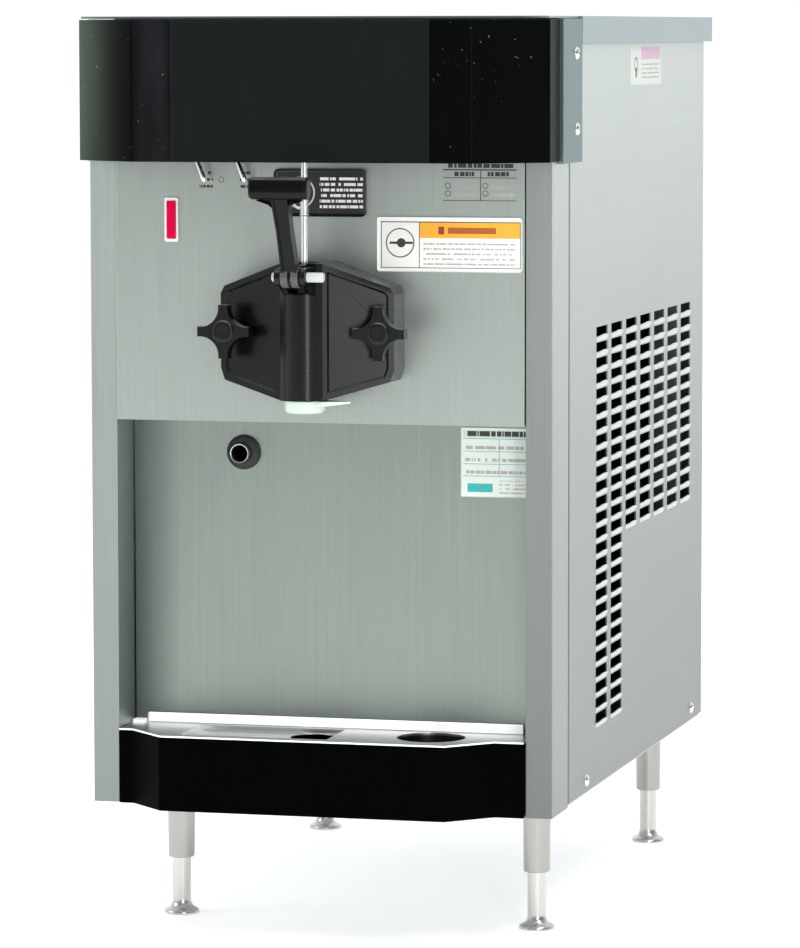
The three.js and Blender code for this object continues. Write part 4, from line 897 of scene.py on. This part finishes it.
def hand_knob(side):
    x = side * STUD_X
    outline = []
    for quarter_turn in range(4):
        swing = math.radians(90 * quarter_turn)
        arc = [(24.3, 4.8), (22.8, 4.2)]
        for i in range(9):
            angle = math.radians(-90 - 90 * i / 8)
            arc.append((22.0 + 17.8 * math.cos(angle), 22.0 + 17.8 * math.sin(angle)))
        arc += [(4.2, 22.8), (4.8, 24.3)]
        for u, v in arc:
            outline.append(at(x + u * math.cos(swing) - v * math.sin(swing), -64,
                              BARREL_Z + u * math.sin(swing) + v * math.cos(swing)))
    star = slab("star", outline, (0, 0.013, 0))
    hub = turned("hub", [(0, -66), (8.4, -66), (9.6, -65.4), (10.6, -64), (10.6, -52), (9, -49),
                         (9, -46.5), (0, -46.5)], "Y", at(x, 0, BARREL_Z), 48)
    dish = turned("dish", [(0, -67), (7.2, -67), (6.8, -65.4), (0, -65.2)], "Y",
                  at(x, 0, BARREL_Z), 40)
    thread = plug("thread", STUD_HOLE, -61, -44, "Y", at(x, 0, BARREL_Z))
    return eased(carved(united(star, hub), dish, thread), 1.2, 3, 40)


for side, where in ((-1, "left"), (1, "right")):
    knob = fitted(hand_knob(side), knob_black, "moulded_black", f"knob_{where}", f"knob_{where}")
    knob.name = f"hand_knob_{where}"
    ridges = [(0, -60)]
    for i in range(30):
        h = -60 + i * 1.25
        ridges += [(3.6, h), (3.95, h + 0.6)]
    stud_piece = turned(f"threaded_stud_{where}", ridges + [(4.0, -22), (4.0, 9), (0, 9)], "Y",
                        at(side * STUD_X, 0, BARREL_Z), 24)
    fitted(smoothed(stud_piece, 60), stud_steel, "stainless", "root", f"stud_{where}")


# ------------------------------------------------------------ draw lever and pivot pin
# One black moulding: a T grip, a flat arm with a sunk web, a hub between the head's ears and a
# tongue that lifts the valve. A pale plastic pin with a wide cap at each end is its hinge.
GRIP_Y = -130
GRIP_Z = 706
ARM_LEAN = math.atan2(PIVOT_Y - GRIP_Y, GRIP_Z - PIVOT_Z)
ARM_REACH = math.hypot(PIVOT_Y - GRIP_Y, GRIP_Z - PIVOT_Z)


def leaning(u, across, v):
    """A point u ahead of the arm's centre line and v up it."""
    return at(across, PIVOT_Y - u * math.cos(ARM_LEAN) - v * math.sin(ARM_LEAN),
              PIVOT_Z - u * math.sin(ARM_LEAN) + v * math.cos(ARM_LEAN))


def lever_arm():
    shape = [(7.4, 0), (6.6, ARM_REACH * 0.55), (7.4, ARM_REACH * 0.80), (7.8, ARM_REACH + 2)]
    outline = [(x, v) for x, v in shape] + [(-x, v) for x, v in reversed(shape)]
    arm = slab("arm", [leaning(6.2, x, v) for x, v in outline],
               leaning(-6.2, 0, 0) - leaning(6.2, 0, 0))
    lean_out = (leaning(1, 0, 0) - leaning(0, 0, 0)).normalized()
    return panelled(arm, lambda face: face.normal.dot(lean_out) > 0.9, 2.2, 0.5, 1.2)


grip_section = [(-9.5, -4), (-7.5, -8.6), (-3, -10), (4, -10), (8, -8), (9.5, -3.5), (9.5, 4),
                (7.5, 8.4), (3, 10), (-4, 10), (-8, 8), (-9.5, 3.5)]
grip = slab("grip", [at(-24.8, GRIP_Y + y, GRIP_Z + z) for y, z in grip_section],
            (0.0496, 0, 0))
for end in (-1, 1):
    for reach, size in ((1.7, 0.93), (0.8, 0.80)):
        furthest = max(face.center.x * end for face in grip.data.polygons)
        picked(grip, lambda face: face.center.x * end > furthest - 0.00001)
        bpy.ops.mesh.extrude_region_move(
            TRANSFORM_OT_translate={"value": (end * reach / 1000, 0, 0)})
        bpy.ops.transform.resize(value=(1, size, size), center_override=at(0, GRIP_Y, GRIP_Z))
        bpy.ops.object.mode_set(mode="OBJECT")
eased(grip, 1.6, 3, 20)
gusset_half = [(8, 8), (10.5, 4), (15, 1.2), (21, 0)]
gusset_outline = [leaning(4.5, x, ARM_REACH - 10 - z) for x, z in gusset_half]
gusset_outline += [leaning(4.5, -x, ARM_REACH - 10 - z) for x, z in reversed(gusset_half)]
gusset_outline += [leaning(4.5, -21, ARM_REACH - 4), leaning(4.5, 21, ARM_REACH - 4)]
gusset = slab("gusset", gusset_outline, leaning(-4.5, 0, 0) - leaning(4.5, 0, 0))
hub = turned("lever_hub", [(0, -8.5), (8.6, -8.5), (9, -8), (9, 8), (8.6, 8.5), (0, 8.5)], "X",
             at(0, PIVOT_Y, PIVOT_Z), 40)
tongue = bar("tongue", at(-4.7, PIVOT_Y, PIVOT_Z - 4), at(4.7, PIVOT_Y + 40, PIVOT_Z + 4))
lever = united(lever_arm(), hub, tongue)
eased(carved(lever, plug("pin_hole", PIN_HOLE, -30, 30, "X", at(0, PIVOT_Y, PIVOT_Z))), 0.9, 3, 34)
lever = joined([lever, eased(gusset, 0.8), grip], "draw_lever_moulding")
lever_black = moulded("lever_black", (0.0007, 0.0009, 0.0012), 0.17, 0.30, 0.20)
fitted(lever, lever_black, "moulded_black", "draw_lever", "draw_lever")

pin_profile = [(0, -17.7), (3.6, -17.7), (4.3, -17), (4.3, -14.7), (3, -14.7), (3, 14.7),
               (4.4, 14.7), (4.5, 15.2), (4.5, 29.4), (3.8, 30.4), (0, 30.7)]
pin = smoothed(turned("hinge_pin", pin_profile, "X", at(0, PIVOT_Y, PIVOT_Z), 32), 40)
cap_white = mottled("cap_white", (0.50, 0.53, 0.50), (0.66, 0.68, 0.65), (70.0, 3.0), (600.0, 3.0),
                    (0.34, 0.1), (0.1, 0.0002), Metallic=0.0)
fitted(pin, cap_white, "white_plastic", "root", "pivot_pin")
spacers = []
for low, high in ((-8.3, -1.4), (1.4, 8.3)):
    spacers.append(turned("spacer", [(9.05, low), (9.7, low + 0.3), (9.7, high - 0.3), (9.05, high),
                                     (9.05, low)], "X", at(0, PIVOT_Y, PIVOT_Z), 40))
spacer_grey = mottled("spacer_grey", (0.05, 0.055, 0.055), (0.10, 0.105, 0.105), (120.0, 3.0), None,
                      (0.45, 0.1), (0.1, 0.0002), Metallic=0.0)
bands = smoothed(joined(spacers, "lever_hub_bands"), 40)
fitted(bands, spacer_grey, "moulded_black", "draw_lever")


# ------------------------------------------------------------ valve, switch rod and spout cap
# A black plunger seals the column. A plated rod stands on it, passes through a coil spring and
# works the draw switch in the header. The pale cap under the column has a pointed finger tab.
def food_plastic(name, tone, rough=0.40):
    return mottled(name, times(tone, 0.9), tone, (45.0, 3.0), (700.0, 2.0), (rough, 0.1),
                   (0.08, 0.0002), by_grain=True, Metallic=0.0, Subsurface_Weight=0.08,
                   Subsurface_Scale=0.004)


pale_green = food_plastic("spout_pale_green", (0.66, 0.83, 0.69))
made("valve_plunger", "valve_piston", head_black, "moulded_black", "valve_plunger", 0.5, 2, 40)

rod_bright = plated("rod_bright", (0.78, 0.80, 0.78), 0.2)
rod_profile = [(0, 634.3), (2.6, 634.3), (3.1, 635), (3.1, 769), (2.4, 770), (0, 770)]
push_rod = smoothed(turned("push_rod", rod_profile, "Z", at(0, VALVE_Y, 0), 32), 40)
fitted(push_rod, rod_bright, "chrome", "valve_plunger", "switch_rod")
coil_profile = [(3.15, 678)]
for i in range(7):
    h = 678.6 + i * 2.6
    coil_profile += [(3.3, h), (4.35, h + 0.55), (4.6, h + 1.0), (4.35, h + 1.45), (3.3, h + 2.0)]
coil_profile += [(3.15, 697), (3.15, 678)]
coil = smoothed(turned("rod_coil", coil_profile, "Z", at(0, VALVE_Y, 0), 28), 60)
fitted(coil, rod_bright, "chrome", "valve_plunger")

cap = turned("cap", [(11, 499.3), (15.6, 499.3), (17.4, 500.4), (18.4, 502.6), (18.4, 510.7),
                     (11, 510.7), (11, 499.3)], "Z", at(0, VALVE_Y, 0), 56)
tab = slab("tab", [at(x, VALVE_Y + y, 505.4) for x, y in
                   [(14.5, -11), (30, -7.5), (41, -3), (43, 0), (41, 3), (30, 7.5), (14.5, 11)]],
           (0, 0, 0.0050))
for corner in tab.data.vertices:
    reach = max(0, (corner.co.x * 1000 - 14.5) / 28.5)
    if corner.co.z < at(0, 0, 507).z:
        corner.co.z += reach * 0.0032
spout = eased(united(cap, tab), 0.6, 2, 40)
fitted(spout, pale_green, "spout_plastic", "root", "spout_cap").name = "spout_cap_moulding"


# ------------------------------------------------------------ switches and indicator
# Two toggle switches hang from the header with plated bat levers; a snap switch above the rod
# starts the beater. The red lens sits in a white snap-in frame.
switch_black = moulded("switch_black", (0.014, 0.014, 0.015), 0.45)
made("draw_switch", "snap_switch", switch_black, "moulded_black", radius=0.8)
TOGGLES = {"left": -116, "right": -77.5}
TOGGLE_Y = -14
TOGGLE_Z = 737
TOGGLE_LEAN = -22
bat = [(0, -32), (1.1, -31.8), (2.0, -31.1), (2.55, -29.8), (2.75, -27.5), (2.65, -24), (2.2, -15),
       (1.7, -7), (1.5, -3), (2.3, -1.2), (2.6, 0.4), (2.2, 2.2), (1.2, 3.3), (0, 3.6)]
for where, x in TOGGLES.items():
    made(f"toggle_body_{where}", f"toggle_housing_{where}", switch_black, "moulded_black",
         radius=0.4)
    lever_bat = smoothed(turned(f"toggle_bat_{where}", bat, "Z", Vector((0, 0, 0)), 32), 60)
    lever_bat.data.transform(Matrix.Translation(at(x, TOGGLE_Y, TOGGLE_Z))
                             @ Matrix.Rotation(math.radians(TOGGLE_LEAN), 4, "Y"))
    fitted(lever_bat, bright_plate, "chrome", f"toggle_{where}", f"toggle_lever_{where}")
    nut = [(5.6, 733.6), (7.2, 733.6), (7.6, 734.2), (7.6, 735.8), (5.6, 735.8), (5.6, 733.6)]
    collar = turned(f"toggle_collar_{where}", nut, "Z", at(x, TOGGLE_Y, 0), 6)
    fitted(eased(collar, 0.2), bright_plate, "chrome", "root")

frame_white = food_plastic("frame_white", (0.90, 0.90, 0.88), 0.35)
made("indicator_bezel", "lens_frame", frame_white, "white_plastic", radius=0.5)
lens_red = mottled("lens_red", (0.42, 0.0, 0.025), (0.60, 0.0, 0.05), ((420, 420, 60), 2.0), None,
                   (0.28, 0.1), (0.15, 0.0003), Metallic=0.0, Specular_IOR_Level=0.08,
                   Emission_Strength=0.30, Emission_Color=(0.70, 0.0, 0.06))
made("indicator_lens", "lens", lens_red, "lens_red", radius=0.5)


# ------------------------------------------------------------ seal drain
# A stainless drip tube comes forward through a thick rubber grommet in the recess wall and
# carries any leak past the shaft seal out to where it is seen.
DRAIN_X = -87
DRAIN_Z = 453.5
tube_profile = [(7.8, 34.4), (8.2, 34), (8.7, 34), (9, 34.4), (9, 350), (7.8, 350), (7.8, 34.4)]
drip_tube = smoothed(turned("drip_tube", tube_profile, "Y", at(DRAIN_X, 0, DRAIN_Z), 48), 50)
# Painted shade: the tube's steel darkens further back along it, inside its bore and the wall.
bore_shaded_tube = Finish("tube_inside_steel", Metallic=1.0)
inside = (bore_shaded_tube.places()[1] - FACE).ramp(0.036, 0.056)
lines = bore_shaded_tube.noise((500, 20, 500), 3.0)
bore_shaded_tube.give(Base_Color=bore_shaded_tube.mix(inside, (0.62, 0.64, 0.62), (0.14, 0.15, 0.15)),
               Roughness=0.22 + lines * 0.15)
bore_shaded_tube.bump(lines, 0.08, 0.0002)
fitted(drip_tube, bore_shaded_tube.material, "stainless", "root", "drain_tube")
ring_profile = [(9.3, 44.4), (11.4, 44.2), (13.6, 45.0), (15.4, 46.6), (16.2, 48.4), (16.2, 50.3),
                (13.7, 50.3), (13.7, 52.4), (15.5, 52.4), (14.2, 55.4), (9.3, 55.4), (9.3, 44.4)]
collar_ring = smoothed(turned("drain_collar", ring_profile, "Y", at(DRAIN_X, 0, DRAIN_Z), 56), 50)
fitted(collar_ring, black_rubber, "rubber", "root", "drain_grommet")


# ------------------------------------------------------------ drip tray and its steel top
# A deep black moulding with cut-off front corners slides in under the recess. Its loose steel
# top has a sunk dish with a drain hole, a round cup well and an upstand at the back.
tray_black = moulded("tray_black", (0.0004, 0.0005, 0.0007), 0.34, 0.0, 0.012)
made("drip_tray", "drip_tray_moulding", tray_black, "moulded_black", "drip_tray", 1.6, 3, 40)
top_finish = Finish("tray_top_steel", Metallic=1.0)
top_lines = top_finish.noise((10, 600, 600), 3.0)
pits = (top_finish.noise(420.0, 2.0) > 0.66) * 0.35
x, y, z = top_finish.places()
# Painted shade: the steel is darker on its lowest faces, in the dish and the well.
deep = z.ramp(0.1952, 0.1900)
wear = top_finish.noise((18, 60, 60), 3.0).ramp(0.35, 0.7)
tone = top_finish.mix(top_lines * 0.6 + wear * 0.4, (0.62, 0.65, 0.635), (0.92, 0.94, 0.93))
tone = top_finish.mix(pits, tone, (0.80, 0.82, 0.80))
tone = top_finish.mix(deep * 0.30, tone, (0.30, 0.34, 0.31))
# Painted shade: the cup well's inside is near-black.
from_well = ((x - 0.103) ** 2 + (y - FACE - 0.012) ** 2) ** 0.5
well_shade = (from_well < 0.0335) * z.ramp(0.1962, 0.1935)
tone = top_finish.mix(well_shade * 0.93, tone, (0.012, 0.013, 0.012))
top_finish.give(Base_Color=tone, Roughness=0.24 + top_lines * 0.14)
top_finish.bump(top_lines * 0.7 + pits, 0.12, 0.0002)
made("tray_insert", "tray_top_plate", top_finish.material, "stainless", "tray_insert", 0.45)
# Painted highlight: near-white and glowing, in place of reflected light, for the upstand, the top
# plate's front strip and the recess corner block.
glowing_highlight_white = mottled("upstand_painted_highlight", (0.95, 0.96, 0.95), (1.0, 1.0, 0.99), ((8, 500, 500), 3.0),
                      None, (0.30, 0.1), (0.06, 0.0002), Metallic=0.0, Emission_Strength=0.26,
                      Emission_Color=(1.0, 1.0, 0.99))
hem = [(46.0, 197.3), (46.9, 197.3), (46.9, 204.6), (48.0, 205.9), (46.6, 206.1), (46.0, 205.2)]
upstand = slab("upstand_cap", [at(-180, y, z) for y, z in hem], (0.362, 0, 0))
fitted(eased(upstand, 0.2), glowing_highlight_white, "stainless", "tray_insert")
# Painted highlight: a thin glowing near-white strip along the top plate's front edge.
lip_edge = [(-194, -3.6), (-180.6, -3.6), (-142.8, -41.6), (128.4, -41.6), (166.2, -3.6),
            (194, -3.6)]
RIM_GAUGE = 0.0009
RIM_RISE = Vector((0, 0, 0.0014))
edge_pieces = []
for (x0, y0), (x1, y1) in zip(lip_edge, lip_edge[1:]):
    start = at(x0, y0, 195.4)
    run = at(x1, y1, 195.4) - start
    inward = Vector((0, 0, 1)).cross(run).normalized() * RIM_GAUGE
    edge_pieces.append(slab("edge", [start, start + inward, start + inward + RIM_RISE,
                                     start + RIM_RISE], run))
rim_line = smoothed(joined(edge_pieces, "tray_top_edge"), 30)
fitted(rim_line, glowing_highlight_white, "stainless", "tray_insert")
# Painted highlight: this block glows near-white too.
corner_clip = bar("recess_corner_clip", at(-194, 38, 194.9), at(-183, 49.8, 199.8))
fitted(eased(corner_clip, 0.5), glowing_highlight_white, "stainless", "root")


# ------------------------------------------------------------ legs
# Tapered stainless sleeves screw into the pan. A plain inner leg with a flanged foot turns in
# each sleeve to level the machine.
leg_finish = brushed("leg_satin", (0.37, 0.365, 0.355), "Z", 0.22, 1.2)
foot_finish = brushed("foot_satin", (0.60, 0.59, 0.575), "Z", 0.28, 0.7)
CORNERS = {"front_left": (-175.4, 132), "front_right": (175.4, 132),
           "rear_left": (-175.4, 648.4), "rear_right": (175.4, 648.4)}
sleeve_profile = [(9.15, 54.7), (11.9, 54.7), (12.6, 55.6), (13.4, 126.4), (9.15, 126.4),
                  (9.15, 54.7)]
foot_profile = [(0, 0), (15.8, 0), (16.9, 0.6), (17, 1.6), (16.6, 3.0), (15.2, 4.2), (12.6, 5.2),
                (10.4, 7.4), (9.2, 10.6), (8.8, 14), (8.9, 103.2), (8.2, 104), (0, 104)]
for corner, (x, y) in CORNERS.items():
    sleeve = smoothed(turned(f"sleeve_{corner}", sleeve_profile, "Z", at(x, y, 0), 56), 40)
    fitted(sleeve, leg_finish, "stainless", "root", f"leg_sleeve_{corner}")
    levelling = smoothed(turned(f"levelling_foot_{corner}", foot_profile, "Z", at(x, y, 0), 56), 40)
    fitted(levelling, foot_finish, "stainless", f"foot_{corner}", f"foot_{corner}")


# ------------------------------------------------------------ hopper, lid and feed
# Deep-drawn stainless hopper under a flush lid with a finger dish; a feed tube meters the mix
# down into the rear of the barrel.
tank_steel = brushed("tank_steel", (0.60, 0.63, 0.62), "X", 0.36, 0.8)
made("hopper", "mix_hopper", tank_steel, "stainless", radius=0.5)
lid_steel = brushed("lid_steel", (0.38, 0.405, 0.40), "X", 0.34, 1.0)
made("hopper_lid", "mix_hopper_lid", lid_steel, "stainless", "hopper_lid")
fitted(smoothed(copy_of("mix_feed_tube", "feed_tube")), tank_steel, "stainless", "root",
       "mix_feed_tube")


# ------------------------------------------------------------ freezing barrel and beater
# Stainless barrel with its evaporator jacket, and the helical beater that scrapes it, driven
# through a lip seal at the back.
barrel_steel = brushed("barrel_steel", (0.50, 0.53, 0.54), "Y", 0.42)
made("freezing_barrel", "barrel", barrel_steel, "dull_steel")
fitted(smoothed(copy_of("beater", "helical_beater"), 40), tank_steel, "stainless", "beater", "beater")
recoated("shaft_seal", black_rubber)


# ------------------------------------------------------------ beater drive
# A gear reducer on the barrel's end is belted to a motor on the shelf below it.
# The castings are rough and a little oily; the motor's satin paint has orange peel and chips.
iron_tone = (0.30, 0.33, 0.34)
iron = Finish("cast_reducer", Metallic=0.55)
oil = iron.noise(12.0, 3.0).ramp(0.4, 0.7)
iron.give(Base_Color=iron.mix(oil, iron_tone, times(iron_tone, 0.55)), Roughness=0.62 - oil * 0.25)
iron.bump(iron.noise(420.0, 4.0, 0.7), 0.5, 0.0005)
paint = Finish("machine_paint", Metallic=0.0, Coat_Weight=0.15, Coat_Roughness=0.3)
chips = paint.noise(70.0, 5.0, 0.7).ramp(0.70, 0.74)
paint.give(Base_Color=paint.mix(chips, (0.02, 0.021, 0.023), (0.30, 0.30, 0.29)),
           Roughness=0.42 + chips * 0.2)
paint.bump(paint.noise(380.0, 2.0) - chips * 0.5, 0.2, 0.0003)
black_paint = paint.material
recoated("inner_frame", brushed("frame_zinc", (0.46, 0.48, 0.49), "Z", 0.55))
for node, name, body, finish, slot in (
        ("gear_reducer", "reducer_case", "root", iron.material, "cast"),
        ("reducer_pulley", "large_pulley", "reducer_pulley", iron.material, "cast"),
        ("motor_pulley", "small_pulley", "motor_pulley", iron.material, "cast"),
        ("drive_motor", "motor_can", "root", black_paint, "painted_black"),
        ("drive_belt", "vee_belt", "root", black_rubber, "rubber")):
    made(node, name, finish, slot, body, angle=30)


# ------------------------------------------------------------ refrigeration
# Hermetic compressor on the pan, and a finned condenser with its fan behind the side louvres.
fins = mottled("fin_aluminium", (0.42, 0.43, 0.43), (0.68, 0.69, 0.69), (25.0, 3.0),
               ((30, 700, 12), 2.0), (0.38, 0.15), (0.2, 0.0003), Metallic=1.0)
# Painted shade: the condenser coil is near-black with almost no gloss, so the louvre slots read as
# shade.
slot_shade_black = mottled("slot_shade_black", (0.0008, 0.0008, 0.0009), (0.003, 0.003, 0.003), (60.0, 3.0), None,
                     (0.85, 0.1), (0.1, 0.0003), Metallic=0.0, Specular_IOR_Level=0.02)
for node, name, body, finish, slot in (
        ("compressor", "compressor_pot", "root", black_paint, "painted_black"),
        ("condenser", "finned_coil", "root", slot_shade_black, "painted_black"),
        ("fan_motor", "fan_motor_can", "root", black_paint, "painted_black"),
        ("fan_blades", "fan_rotor", "fan", fins, "aluminium")):
    made(node, name, finish, slot, body, 0.5, angle=30)
